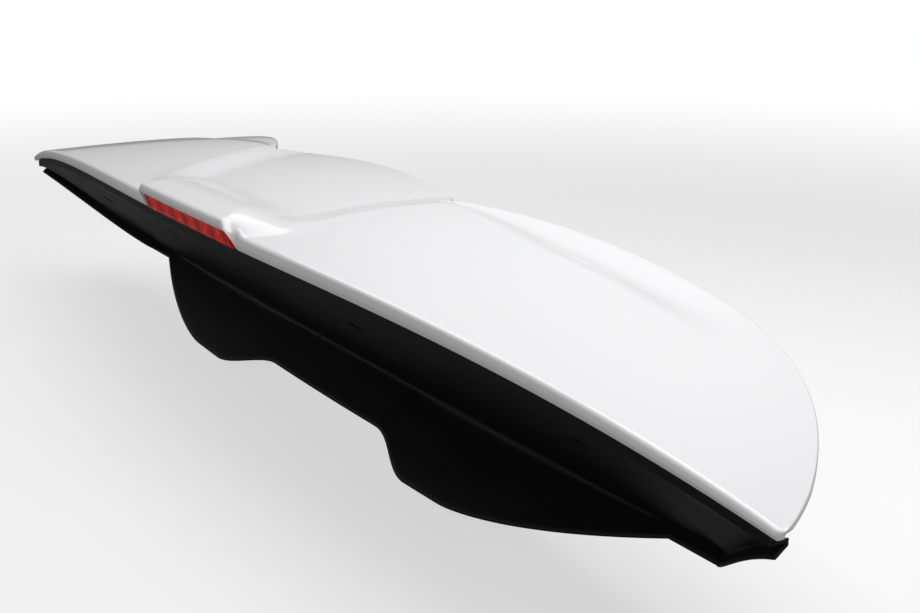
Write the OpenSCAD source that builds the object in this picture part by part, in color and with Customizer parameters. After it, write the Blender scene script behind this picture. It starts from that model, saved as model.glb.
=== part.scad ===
// Rear roof spoiler for a hatchback tailgate, in millimetres.
// +X is the car's right, +Y is forward, +Z is up. The origin is the middle of the four
// mounting studs, on the front face of the two brackets. Inside the modules the numbers count
// from the line between the two trailing tips, and seat() moves the result to the origin.

/* [Wing] */
// Width from trailing tip to trailing tip
span = 1200; // [1100:10:1300]
// How far the trailing edge bows rearwards in the middle
bow = 43; // [35:1:50]
// Height of the trailing edge above the tips
lip_rise = 43; // [36:1:50]
// Furthest point of the blades ahead of the tip line
blade_reach = 162; // [152:1:172]
// Distance from the middle to the furthest point of a blade
blade_peak_x = 360; // [330:5:380]
// Height of the blade's front edge beside the notch
front_rise = 61; // [54:1:68]
// Crown of the blade between its edges
blade_crown = 10; // [4:0.5:14]
// Depth of the soft channel behind the blade's front edge
channel_depth = 4.5; // [1:0.5:7]

/* [Centre trough] */
// How far the tongue reaches ahead of the tip line
tongue_reach = 143; // [136:1:150]
// Distance from the middle to the notch beside the tongue
notch_x = 146; // [135:1:160]
// How far ahead of the tip line the notch lies
notch_y = 105; // [98:1:112]
// Depth of the trough below the blades
trough_depth = 7; // [3:0.5:10]
// Extra height of the lamp's visor
visor_lift = 15; // [12:0.5:17]
// How far the visor stands behind the blades' edge
visor_out = 7; // [4:0.5:9]

/* [Walls] */
// Wall of the painted skin
skin_wall = 2.6; // [2:0.1:3]
// Height of the rear face at the middle of a blade
lip_height = 11.5; // [10:0.5:14]
// Height of the rear face at the tips
tip_height = 7; // [6.5:0.5:9]
// Height of the turned down front edge, beside the middle
hem_height = 8; // [6:0.5:12]
// Wall of the black cover
cover_wall = 3; // [2.5:0.1:3.5]

/* [Lower cover] */
// Slope of the rear window, in degrees
glass_slope = 33.8; // [30:0.2:37]
// Depth of the window's plane below the tips, on the tip line
glass_drop = 182; // [175:1:190]
// How far ahead of the tip line the cover meets the window
foot_y = 112; // [106:1:118]
// Width of the skirt that lies on the window, in the middle
skirt_width = 40; // [30:1:50]
// How much further the two lobes of the skirt reach
lobe_reach = 23; // [10:1:28]
// Distance from the middle to the cover's lower corners
corner_x = 470; // [450:5:490]

/* [Brackets and studs] */
// Distance between the left and the right studs
stud_pitch_x = 520; // [480:5:560]
// Distance between the upper and the lower studs
stud_pitch_z = 70; // [60:1:80]
// Radius of the M6 studs
stud_r = 3; // [2.5:0.5:4]
// Length of the studs in front of the bracket
stud_length = 22; // [18:1:30]
// Width of a bracket
bracket_width = 66; // [62:1:80]
// Wall of a bracket
bracket_wall = 3.5; // [3:0.1:5]

/* [Stop lamp] */
// Width of the lamp's lens
lens_width = 176; // [160:2:184]
// Height of the lens
lens_height = 13.5; // [12:0.5:14]
// Wall of the lens
lens_wall = 2; // [1.5:0.1:2.5]
// Number of lights in the lamp
led_count = 12; // [8:1:14]

/* [Hidden] */
$fn = 32;

white = [0.93, 0.93, 0.94];
black = [0.05, 0.05, 0.055];
half = span / 2;
clear = 0.3;

// Stations across the wing, from the middle to one tip, closer together where the form turns
function spread(a, b, n) = [for (i = [0:n - 1]) a + (b - a) * i / n];
lamp_end = lens_width / 2 + 3;
near_half = concat(spread(0, lamp_end - 10, 3), spread(lamp_end - 10, lamp_end + 7, 6),
                   spread(lamp_end + 7, notch_x - 14, 2), spread(notch_x - 14, notch_x + 16, 7),
                   spread(notch_x + 16, 0.9 * half, 14), spread(0.9 * half, half, 7), [half]);
function both_sides(list) =
    concat([for (i = [len(list) - 1:-1:1]) -list[i]], list);
function up_to(list, end) = concat([for (x = list) if (x < end - 1) x], [end]);

function ramp(a, b, x) = let (t = min(1, max(0, (x - a) / (b - a)))) t * t * (3 - 2 * t);
function mix(a, b, t) = a + (b - a) * t;

// Plan of the wing: trailing edge, blade edge and tongue
function visor(x) = 1 - ramp(lamp_end - 1, lamp_end + 5, abs(x));
function visor_top(x) = 1 - ramp(lamp_end - 9, lamp_end + 5, abs(x));
function bow_y(x) = -bow * (1 - pow(x / half, 2));
function rear_y(x) = bow_y(x) - visor_out * visor(x);
tip_overrun = 3;
function blade_y(x) = let (a = abs(x))
    a > blade_peak_x
    ? blade_reach * pow(1 - pow((a - blade_peak_x) / (half + tip_overrun - blade_peak_x), 2.5), 0.9)
    : blade_reach - (blade_reach - notch_y)
      * pow((blade_peak_x - a) / (blade_peak_x - notch_x), 2.2);
tongue_corner = 36;
function tongue_y(x) =
    let (a = abs(x), c = notch_x - tongue_corner, s = max(0, (a - c) / tongue_corner))
    mix(tongue_reach - 12 * pow(min(a, c) / c, 2), notch_y, s * s * s);
function front_y(x) = abs(x) < notch_x ? tongue_y(x) : blade_y(x);

// Heights: the trailing edge, a smooth front line and the surface between them
function wing_z(x) = lip_rise * (1 - pow(abs(x) / half, 3.6));
function edge_z(x) = wing_z(x) + visor_lift * visor_top(x);
roof_crown = 7;
visor_blend = 64;
visor_spread = 45;
function far_z(x) = let (a = abs(x))
    a < notch_x ? front_rise + roof_crown * (1 - pow(a / notch_x, 2))
    : front_rise * (1 - pow(min(1, (a - notch_x) / (0.717 * half)), 1.5));
function far_y(x) = abs(x) < blade_peak_x ? blade_reach : blade_y(x);
trough_rear_x = notch_x - 42;
function crease_x(y) = mix(trough_rear_x, notch_x, (y + bow) / (notch_y + bow));
function trough(x, y) = let (c = crease_x(y))
    -trough_depth * (1 - ramp(c - 30, c + 16, abs(x))) * ramp(-bow, 25, y);
channel_width = 62;
function channel(x, y) = let (a = abs(x), grow = ramp(notch_x - 40, 300, a),
    s = (blade_y(x) - y) / max(channel_width * grow, 1))
    (s <= 0 || s >= 1 || a < notch_x - 20) ? 0
    : -channel_depth * grow * pow(sin(180 * s), 2) * (1 - ramp(0.6 * half, 0.78 * half, a));
function visor_mound(x, y) = let (q = min(1, max(0, (y + bow) / visor_blend)))
    visor_lift * (1 - ramp(6 - bow, visor_blend - bow, y))
    * (1 - ramp(lamp_end - 9 - 0.5 * visor_spread * q, lamp_end + 5 + visor_spread * q, abs(x)));
function top_z(x, y) =
    let (r = bow_y(x), v = min(1.1, max(0, (y - r) / max(far_y(x) - r, 1))))
    mix(wing_z(x), far_z(x), v)
    + visor_mound(x, y)
    + blade_crown * (1 - pow(abs(x) / (0.95 * half), 2)) * 4 * v * max(0, 1 - v)
    + trough(x, y) + channel(x, y);

// Lower end of the rear face: it steps up over the lamp
visor_face = 12.5;
function blade_floor(x) = wing_z(x) - mix(lip_height, tip_height, pow(abs(x) / half, 3));
function lip_floor(x) = mix(blade_floor(x), wing_z(x) + visor_lift - visor_face, visor(x));
function cover_top(x) = blade_floor(x) - clear;

// Triangles that fill a ring's strip between the points a to b and the points d back to c
function strip_cap(a, b, c, d) = let (n = max(b - a, d - c)) [for (k = [0:n - 1])
    let (i0 = a + floor(k * (b - a) / n), i1 = a + floor((k + 1) * (b - a) / n),
         j0 = d - floor(k * (d - c) / n), j1 = d - floor((k + 1) * (d - c) / n))
    each concat(i1 > i0 ? [[i0, i1, j0]] : [], j1 < j0 ? [[i1, j1, j0]] : [])];

// Rings that lie across the wing are joined to one closed skin, with a cap at each end
module loft(rings, cap) {
    m = len(rings[0]);
    n = len(rings);
    polyhedron(
        points = [for (r = rings) each r],
        faces = concat(
            [for (i = [0:n - 2], j = [0:m - 1])
                let (k = (j + 1) % m) [i * m + j, (i + 1) * m + j, (i + 1) * m + k]],
            [for (i = [0:n - 2], j = [0:m - 1])
                let (k = (j + 1) % m) [i * m + j, (i + 1) * m + k, i * m + k]],
            cap,
            [for (p = cap) [for (k = [2:-1:0]) (n - 1) * m + p[k]]]),
        convexity = 8);
}

// Upper skin: one ring goes over the top, round the lip and back along the inside
top_steps = 13;
inner_steps = 8;
edge_round = 1.2;
lip_return = 8;
function return_at(x) = min(lip_return, 0.6 * (front_y(x) - rear_y(x)));
tip_hem = 3.4;
function hem_at(x) = mix(hem_height, tip_hem, ramp(0.8 * half, 0.94 * half, abs(x)));
function skin_ring(x) =
    let (f = front_y(x), r = rear_y(x), w = skin_wall, z = edge_z(x),
         b = lip_floor(x), zf = top_z(x, f), zi = top_z(x, r + w + 0.4) - w,
         zr = min(b + w - 0.4, zi - 0.6))
    concat(
        [[x, f, zf - hem_at(x)], [x, f, zf - edge_round]],
        [for (i = [0:top_steps]) let (y = mix(f - edge_round, r + 3, i / top_steps))
            [x, y, top_z(x, y)]],
        [[x, r + 0.9, z - 0.7], [x, r, z - 2.2], [x, r + 0.3, b + 1.6], [x, r + 1.4, b + 0.4],
         [x, r + 2.8, b], [x, r + return_at(x), b], [x, r + return_at(x), zr],
         [x, r + w + 0.4, zr], [x, r + w + 0.4, zi]],
        [for (i = [1:inner_steps]) under_point(x, i)],
        [[x, f - w, zf - hem_at(x)]]);
function under_point(x, i) = let (y0 = rear_y(x) + skin_wall + 0.4, y1 = front_y(x) - skin_wall,
    y = mix(y0, y1, i / inner_steps))
    [x, y, top_z(x, i < inner_steps ? y : front_y(x)) - skin_wall];
lip_low = top_steps + 5;
last_under = lip_low + 6 + inner_steps;
skin_cap = concat([[0, 1, last_under], [0, last_under, last_under + 1], [1, 2, last_under]],
                  strip_cap(2, lip_low - 3, lip_low + 6, last_under),
                  [for (i = [lip_low - 3:lip_low - 1]) [i, i + 1, lip_low + 6]],
                  [[lip_low, lip_low + 5, lip_low + 6], [lip_low, lip_low + 1, lip_low + 5],
                   [lip_low + 1, lip_low + 2, lip_low + 5], [lip_low + 2, lip_low + 3, lip_low + 5],
                   [lip_low + 3, lip_low + 4, lip_low + 5]]);
// A point on the skin's underside, at a share s of the last step before the front edge
function by_the_hem(x, s) = let (a = under_point(x, inner_steps - 1), b = under_point(x, inner_steps))
    a + (b - a) * s;

// Places where the skin carries bosses
bracket_x = stud_pitch_x / 2;
bracket_face_y = 100;
flange_y = bracket_face_y - 22;
flange_screw_dx = bracket_width / 2 - 10;
flange_z = top_z(bracket_x + flange_screw_dx, flange_y) - 14;
stud_mid_z = flange_z - bracket_wall - 16 - stud_pitch_z / 2;
plate_low = stud_mid_z - stud_pitch_z / 2 - 24;
low_screw_z = stud_mid_z - stud_pitch_z / 2 - 14;
screw_r = 1.9;
screw_fit = 0.05;
boss_r = 5;
cover_screw_x = [180, 420];
cover_screw_in = 52;
lamp_screw_x = 66;
lamp_screw_y = 2;
clip_places = [[88, 24], [430, 24]];
clip_hang = 16;
clip_r = 3.2;
tab_wall = 2.6;

// A round boss that hangs from the skin's underside down to a given height
module skin_boss(x, y, low, r = boss_r) {
    top = top_z(x, y) - skin_wall / 2;
    translate([x, y, low]) cylinder(r = r, h = top - low);
}
module down_hole(x, y, low, r, deep) {
    translate([x, y, low - 1]) cylinder(r = r, h = deep + 1);
}
function cover_joint_z(x) = top_z(x, rear_y(x) + cover_screw_in) - 26;
function cover_screw_y(x) = rear_y(x) + cover_screw_in;
function clip_y(p) = front_y(p[0]) - p[1];
function clip_z(p) = top_z(p[0], clip_y(p)) - skin_wall - clip_hang;

module each_side() { children(); mirror([1, 0, 0]) children(); }
module seat() {
    translate([0, -bracket_face_y, -stud_mid_z]) children();
}

module upper_skin() color(white) seat() difference() {
    union() {
        loft([for (x = both_sides(near_half)) skin_ring(x)], skin_cap);
        each_side() {
            for (s = [-1, 1]) skin_boss(bracket_x + s * flange_screw_dx, flange_y, flange_z);
            for (x = cover_screw_x) skin_boss(x, cover_screw_y(x), cover_joint_z(x));
            skin_boss(lamp_screw_x, lamp_screw_y, lamp_ear_z);
            for (p = clip_places)
                translate([p[0] - 10, clip_y(p) - tab_wall, clip_z(p) - 9])
                    cube([20, tab_wall, clip_hang + skin_wall + 9 - skin_wall / 2]);
        }
    }
    each_side() {
        for (s = [-1, 1])
            down_hole(bracket_x + s * flange_screw_dx, flange_y, flange_z, screw_r + screw_fit, 11);
        for (x = cover_screw_x)
            down_hole(x, cover_screw_y(x), cover_joint_z(x), screw_r + screw_fit, 13);
        down_hole(lamp_screw_x, lamp_screw_y, lamp_ear_z, screw_r + screw_fit, 10);
        for (p = clip_places)
            translate([p[0], clip_y(p) - tab_wall - 1, clip_z(p)]) rotate([-90, 0, 0])
                cylinder(r = clip_r + screw_fit, h = tab_wall + 2);
    }
}

// Lower cover: a wall slopes from the lip down to the window and folds back into a skirt. It is
// made as three lengths that meet at cover_joint_x on each side
cover_joint_x = 205;
joint_gap = 0.2;
function glass_z(x, y) = y * tan(glass_slope) - glass_drop + 18 * pow(x / corner_x, 2);
cover_inset = 4;
cover_end = half - 8;
foot_power = 1.15;
function foot_at(x) = let (a = abs(x), y1 = foot_y - 12 * pow(min(a, corner_x) / corner_x, 2),
    t = max(0, (a - corner_x) / (cover_end - corner_x)), e = [bow_y(a) + 15, cover_top(a) - 11])
    a <= corner_x ? [y1, glass_z(a, y1)]
    : [mix(y1, e[0], t), mix(glass_z(corner_x, y1), e[1], pow(t, foot_power))];
lobe_in = 95;
lobe_out = 180;
function skirt_y(x) = let (a = abs(x), lobe = foot_y - skirt_width - lobe_reach)
    min(foot_at(x)[0] - 7,
        foot_y - skirt_width - lobe_reach * ramp(lobe_in, lobe_out, a)
        + (foot_y - lobe) * pow(max(0, a - 230) / (corner_x - 230), 1.5));
wall_steps = 7;
upright = 7;
function wall_point(x, s) = let (y0 = bow_y(x) + cover_inset, z0 = cover_top(x) - upright,
    f = foot_at(x), t = cover_wall)
    [x, mix(y0, f[0], s), mix(z0, f[1] + t, s) + 10 * s * (1 - s) * visor_free(x)];
function visor_free(x) = 1 - ramp(corner_x - 60, cover_end, abs(x));
function cover_ring(x) =
    let (r = bow_y(x) + cover_inset, z = cover_top(x), f = foot_at(x), t = cover_wall,
         e = skirt_y(x), g = function (y) abs(x) > corner_x ? f[1] + (y - f[0]) * tan(glass_slope)
         : glass_z(x, y), n = [0, 0.67 * t, 0.74 * t])
    concat(
        [[x, r, z]],
        [for (i = [0:wall_steps]) wall_point(x, i / wall_steps)],
        [[x, mix(f[0], e, 0.5), g(mix(f[0], e, 0.5)) + t], [x, e + 2, g(e + 2) + t],
         [x, e, g(e) + 0.8], [x, e, g(e)], [x, f[0] + 2, g(f[0] + 2)]],
        [for (i = [wall_steps:-1:1]) wall_point(x, i / wall_steps) + n],
        [[x, r + t, z - upright + 1], [x, r + t, z]]);
foot_i = wall_steps + 1;
cover_cap = concat(strip_cap(0, foot_i, foot_i + 6, 2 * foot_i + 6),
                   [[foot_i, foot_i + 5, foot_i + 6], [foot_i, foot_i + 1, foot_i + 5],
                    [foot_i + 1, foot_i + 2, foot_i + 5], [foot_i + 2, foot_i + 4, foot_i + 5],
                    [foot_i + 2, foot_i + 3, foot_i + 4]]);
end_stations = spread(corner_x, cover_end, 8);
middle_half = concat(spread(0, cover_joint_x - joint_gap / 2, 8), [cover_joint_x - joint_gap / 2]);
outer_length = concat(spread(cover_joint_x + joint_gap / 2, 0.9 * corner_x, 9),
                      spread(0.9 * corner_x, corner_x, 3), end_stations, [cover_end]);

well_r = 6.5;
well_wall = 2;
seat_wall = 3;
boss_root = 50;
boss_hole = 14;
wall_mid = 4.3;
// Keeps what lies inside the cover, from the middle of its wall inwards
module inside_wall(x) {
    f = foot_at(x);
    y0 = bow_y(x) + cover_inset;
    z0 = cover_top(x) - upright;
    intersection() {
        children();
        translate([x, y0, z0 + wall_mid]) rotate([atan2(f[1] + cover_wall - z0, f[0] - y0), 0, 0])
            translate([-20, -50, 0]) cube([40, 300, 200]);
    }
}
module cover_boss(x) {
    inside_wall(x) translate([x, boss_root, low_screw_z]) rotate([-90, 0, 0])
        cylinder(r = boss_r, h = bracket_face_y - bracket_wall - boss_root);
}
module cover_well(x) {
    low = well_floor(x) - 15;
    inside_wall(x) translate([x, cover_screw_y(x), low])
        cylinder(r = well_r + well_wall, h = cover_joint_z(x) - low);
}
module well_hole(x) {
    translate([x, cover_screw_y(x), well_floor(x) - 60])
        cylinder(r = well_r, h = cover_joint_z(x) - seat_wall - well_floor(x) + 60);
    translate([x, cover_screw_y(x), cover_joint_z(x) - seat_wall - 1])
        cylinder(r = screw_r + 0.4, h = seat_wall + 2);
}
module cover_middle() color(black) seat() difference() {
    union() {
        loft([for (x = both_sides(middle_half)) cover_ring(x)], cover_cap);
        each_side() cover_well(cover_screw_x[0]);
    }
    each_side() well_hole(cover_screw_x[0]);
}
module outer_cover() color(black) seat() difference() {
    union() {
        loft([for (x = outer_length) cover_ring(x)], cover_cap);
        for (s = [-1, 1]) cover_boss(bracket_x + s * flange_screw_dx);
        cover_well(cover_screw_x[1]);
    }
    for (s = [-1, 1])
        translate([bracket_x + s * flange_screw_dx, bracket_face_y - bracket_wall - boss_hole,
                   low_screw_z])
            rotate([-90, 0, 0]) cylinder(r = screw_r + screw_fit, h = boss_hole + 1);
    well_hole(cover_screw_x[1]);
}
module cover_right() outer_cover();
module cover_left() mirror([1, 0, 0]) outer_cover();
function well_floor(x) = let (y0 = bow_y(x) + cover_inset, f = foot_at(x),
    s = (cover_screw_y(x) - y0) / (f[0] - y0)) wall_point(x, s)[2] + 1;

// Side fins close the two ends between the skin's side edge and the cover
fin_wall = 2.5;
fin_bulge = 0.36;
fin_steps = 4;
fin_fit = 0.15;
fin_foot = 2;
function fin_point(x, t, ahead) =
    let (f = foot_at(x), top = by_the_hem(x, 1),
         low = [x, f[0] + 0.67 * cover_wall + fin_fit, f[1] + fin_foot],
         high = [x, top[1] - fin_wall - 0.5, top[2] - 0.8])
    mix(low, high, t) + [0, fin_bulge * (high[1] - low[1]) * t * (1 - t) + ahead, 0];
function fin_ring(x) = concat(
    [for (i = [0:fin_steps]) fin_point(x, i / fin_steps, 0)],
    [for (i = [fin_steps:-1:0]) fin_point(x, i / fin_steps, fin_wall)]);
module side_fin() color(black) seat()
    loft([for (i = [len(end_stations) - 1:-1:0]) fin_ring(end_stations[i])],
         strip_cap(0, fin_steps, fin_steps + 1, 2 * fin_steps + 1));
module side_fin_right() side_fin();
module side_fin_left() mirror([1, 0, 0]) side_fin();

// Brackets carry the studs and tie the skin to the cover. Each stud has a collar, pressed into
// the plate
collar_r = stud_r + 1;
flange_depth = 36;
rib_wall = 3;
rib_depth = 31;
rib_waist = 14;
rib_toe = 9;
module bracket() color([0.16, 0.16, 0.17]) seat() {
    w = bracket_width;
    t = bracket_wall;
    y = bracket_face_y;
    difference() {
        union() {
            translate([bracket_x - w / 2, y - t, plate_low]) cube([w, t, flange_z - plate_low]);
            translate([bracket_x - w / 2, y - flange_depth, flange_z - t]) cube([w, flange_depth, t]);
            for (x = [bracket_x - w / 2, bracket_x - rib_wall / 2, bracket_x + w / 2 - rib_wall])
                translate([x, y - t + 0.01, 0]) rotate([90, 0, 90]) linear_extrude(rib_wall)
                    polygon([[0, plate_low + 0.4 * rib_waist], [-rib_toe, plate_low + 1.4 * rib_waist],
                             [-rib_waist, flange_z - 1.3 * rib_depth],
                             [-rib_depth, flange_z - t + 0.01], [0, flange_z - t + 0.01]]);
        }
        for (s = [-1, 1]) {
            x = bracket_x + s * flange_screw_dx;
            translate([x, flange_y, flange_z - t - 1]) cylinder(r = screw_r + 0.4, h = t + 2);
            translate([x, y - t - 1, low_screw_z]) rotate([-90, 0, 0])
                cylinder(r = screw_r + 0.4, h = t + 2);
        }
        for (s = [-1, 1]) {
            z = stud_mid_z + s * stud_pitch_z / 2;
            translate([bracket_x, y - t - rib_depth, z]) rotate([-90, 0, 0])
                cylinder(r = stud_head_r + 1, h = rib_depth);
            translate([bracket_x, y - t - 1, z]) rotate([-90, 0, 0])
                cylinder(r = collar_r + screw_fit, h = t + 2);
        }
    }
}
module bracket_right() bracket();
module bracket_left() mirror([1, 0, 0]) bracket();

stud_head_r = 8;
stud_head_h = 3;
stud_tip = 1.02;
module stud_at_each() {
    each_side() for (s = [-1, 1])
        translate([bracket_x, bracket_face_y, stud_mid_z + s * stud_pitch_z / 2])
            rotate([-90, 0, 0]) children();
}
module mounting_studs() color([0.75, 0.75, 0.72]) seat() stud_at_each() {
    translate([0, 0, -bracket_wall - stud_head_h]) cylinder(r = stud_head_r, h = stud_head_h);
    translate([0, 0, -bracket_wall - 0.01]) cylinder(r = collar_r, h = bracket_wall + 0.01);
    translate([0, 0, -0.01]) cylinder(r = stud_r, h = stud_length - stud_tip + 0.02);
    translate([0, 0, stud_length - stud_tip])
        cylinder(r1 = stud_r, r2 = stud_r - 0.8, h = stud_tip, $fn = 48);
}
seal_t = 4;
module stud_seals() color([0.12, 0.12, 0.12]) seat() stud_at_each() difference() {
    cylinder(r = 13, h = seal_t);
    translate([0, 0, -1]) cylinder(r = stud_r + 1.5, h = seal_t + 2);
}

// A pan head screw with its tip up, its seat at the origin
head_r = 4.2;
head_h = 2.6;
module screw(length) {
    difference() {
        translate([0, 0, -head_h]) cylinder(r = head_r, h = head_h);
        translate([0, 0, -head_h - 1]) cylinder(r = 1.9, h = 2.6, $fn = 6);
    }
    translate([0, 0, -0.01]) cylinder(r = screw_r, h = length - 1.5);
    translate([0, 0, length - 1.52]) cylinder(r1 = screw_r, r2 = 0.6, h = 1.52, $fn = 24);
}
steel = [0.6, 0.6, 0.62];
module bracket_screws() color(steel) seat() each_side() for (s = [-1, 1])
    translate([bracket_x + s * flange_screw_dx, flange_y, flange_z - bracket_wall]) screw(12);
module cover_bracket_screws() color(steel) seat() each_side() for (s = [-1, 1])
    translate([bracket_x + s * flange_screw_dx, bracket_face_y, low_screw_z])
        rotate([90, 0, 0]) screw(15);
module cover_screws() color(steel) seat() each_side() for (x = cover_screw_x)
    translate([x, cover_screw_y(x), cover_joint_z(x) - seat_wall]) screw(14);

// Push-in clips along the front edge: a head behind the tab, a collar before it, three barbs
clip_head_h = 2;
clip_barb_pitch = 3;
clip_shank = 13;
clip_nose = 3;
module edge_clip() {
    translate([0, 0, -tab_wall - clip_head_h]) cylinder(r = 1.9 * clip_r, h = clip_head_h);
    translate([0, 0, -tab_wall - 0.01]) cylinder(r = clip_r, h = tab_wall + clip_shank);
    cylinder(r = 2.5 * clip_r, h = 0.9 * clip_head_h);
    for (i = [0:2]) translate([0, 0, (i + 1.5) * clip_barb_pitch])
        cylinder(r1 = 1.44 * clip_r, r2 = clip_r, h = clip_head_h, $fn = 24);
    translate([0, 0, clip_shank - 0.02])
        cylinder(r1 = clip_r, r2 = 0.45 * clip_r, h = clip_nose, $fn = 24);
}
module edge_clips() color([0.85, 0.85, 0.8]) seat() each_side() for (p = clip_places)
    translate([p[0], clip_y(p), clip_z(p)]) rotate([-90, 0, 0]) edge_clip();

// Foam strips: one under the skin's front edge, one under the skirt
seal_stations = both_sides(up_to(near_half, corner_x - 8));
seal_drop = 5;
seal_fit = 0.5;
module front_seal() color([0.13, 0.13, 0.13]) seat() loft([for (x = seal_stations)
    let (a = by_the_hem(x, 0.9) - [0, 0, seal_fit], b = by_the_hem(x, 0.5) - [0, 0, seal_fit])
    [a - [0, 0, seal_drop], a, b, b - [0, 0, seal_drop]]], strip_cap(0, 1, 2, 3));
skirt_stations = both_sides(up_to(concat(middle_half, outer_length), 0.84 * corner_x));
module skirt_seal() color([0.13, 0.13, 0.13]) seat() loft([for (x = skirt_stations)
    let (y = mix(skirt_y(x), foot_at(x)[0], 0.45))
    [[x, y + 4, glass_z(x, y + 4) - 4], [x, y + 4, glass_z(x, y + 4)],
     [x, y - 4, glass_z(x, y - 4)], [x, y - 4, glass_z(x, y - 4) - 4]]], strip_cap(0, 1, 2, 3));

// Stop lamp: every piece is a profile drawn out along X
lens_top = lip_floor(0) - clear;
lens_back = rear_y(0) + 4;
lens_depth = 9;
module along_x(width, profile) {
    translate([-width / 2, 0, 0]) rotate([90, 0, 90]) linear_extrude(width) polygon(profile);
}
module lamp_lens() color([0.75, 0.05, 0.04]) seat() difference() {
    y = lens_back;
    z = lens_top;
    h = lens_height;
    along_x(lens_width, [[y, z - 1], [y + 1, z], [y + lens_depth, z], [y + lens_depth, z - h],
                         [y + 4.5, z - h], [y + 3, z - h + 1]]);
    along_x(lens_width - 2 * lens_wall,
            [[y + lens_wall + 0.5, z - lens_wall], [y + lens_depth + 1, z - lens_wall],
             [y + lens_depth + 1, z - h + lens_wall], [y + lens_wall + 3.2, z - h + lens_wall]]);
}
housing_depth = 26;
housing_y = lens_back + lens_depth + 1.2;
ear_wall = 3;
lamp_ear_z = lens_top - 3;
module lamp_housing() color([0.1, 0.1, 0.11]) seat() {
    z = lens_top;
    h = lens_height;
    w = lens_width - 4;
    difference() {
        union() {
            translate([-w / 2, housing_y, z - h]) cube([w, housing_depth, h - 3]);
            each_side() translate([lamp_screw_x - 8, housing_y, lamp_ear_z - ear_wall])
                cube([16, lamp_screw_y - housing_y + 9, ear_wall]);
            translate([18, housing_y + housing_depth - 0.01, z - h]) cube([20, 16, h - 3]);
        }
        translate([-w / 2 + 2, housing_y - 1, z - h + 2]) cube([w - 4, housing_depth - 1.5, h - 7]);
        each_side() translate([lamp_screw_x, lamp_screw_y, lamp_ear_z - 20])
            cylinder(r = screw_r + 0.4, h = 24);
        translate([20, housing_y + housing_depth + 2, z - h + 2]) cube([16, 15, h - 7]);
        pins(0.02);
    }
}
inside_low = lens_top - lens_height + 2;
inside_h = lens_height - 7;
module lamp_reflector() color([0.85, 0.86, 0.88]) seat() difference() {
    w = lens_width - 9;
    translate([-w / 2, housing_y + 1, inside_low + 0.3]) cube([w, 12, inside_h - 0.6]);
    for (i = [0:led_count - 1]) translate([led_x(i), housing_y + 0.5, inside_low + inside_h / 2])
        rotate([-90, 0, 0]) cylinder(r1 = inside_h / 2 - 0.9, r2 = 1.9, h = 13, $fn = 24);
}
function led_x(i) = (i - (led_count - 1) / 2) * (lens_width - 26) / (led_count - 1);
board_y = housing_y + 15.5;
module lamp_board() color([0.1, 0.35, 0.18]) seat()
    translate([-(lens_width - 9) / 2, board_y, inside_low + 0.3])
        cube([lens_width - 9, 1.6, inside_h - 0.6]);
module lamp_leds() color([0.95, 0.9, 0.7]) seat() for (i = [0:led_count - 1])
    translate([led_x(i), board_y, inside_low + inside_h / 2]) rotate([90, 0, 0]) {
        translate([-1.8, -1.8, 0]) cube([3.6, 3.6, 1.2]);
        translate([0, 0, 1.19]) cylinder(r1 = 1.4, r2 = 0.9, h = 1, $fn = 24);
    }
module lamp_gasket() color([0.12, 0.12, 0.12]) seat() difference() {
    z = lens_top;
    h = lens_height;
    translate([-(lens_width - 4) / 2, lens_back + lens_depth, z - h + 0.01])
        cube([lens_width - 4, 1.2, h - 3.02]);
    translate([-(lens_width - 8) / 2, lens_back + lens_depth - 1, z - h + 2])
        cube([lens_width - 8, 4, h - 7]);
}
module lamp_screws() color(steel) seat() each_side()
    translate([lamp_screw_x, lamp_screw_y, lamp_ear_z - ear_wall]) screw(11);
module pins(fit) {
    for (x = [25, 31])
        translate([x - 0.4 - fit, housing_y + housing_depth - 2.5, inside_low + inside_h / 2 - 0.4 - fit])
            cube([0.8 + 2 * fit, 13.5, 0.8 + 2 * fit]);
}
module connector_pins() color([0.8, 0.7, 0.4]) seat() pins(0);

upper_skin();
cover_middle();
cover_right();
cover_left();
side_fin_right();
side_fin_left();
bracket_right();
bracket_left();
mounting_studs();
stud_seals();
bracket_screws();
cover_bracket_screws();
cover_screws();
edge_clips();
front_seal();
skirt_seal();
lamp_lens();
lamp_housing();
lamp_reflector();
lamp_board();
lamp_leds();
lamp_gasket();
lamp_screws();
connector_pins();
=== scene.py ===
"""Rear roof spoiler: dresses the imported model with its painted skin, black cover, lamp and fixings.

Lengths in the form classes are millimetres, counted from the line between the two trailing tips.
Seat.place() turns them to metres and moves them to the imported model's origin.
"""

import logging
import math
from dataclasses import dataclass, field
from enum import Enum
from typing import Any, Optional, Sequence

import bmesh
import bpy
import numpy as np
from mathutils import Matrix, Vector


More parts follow.
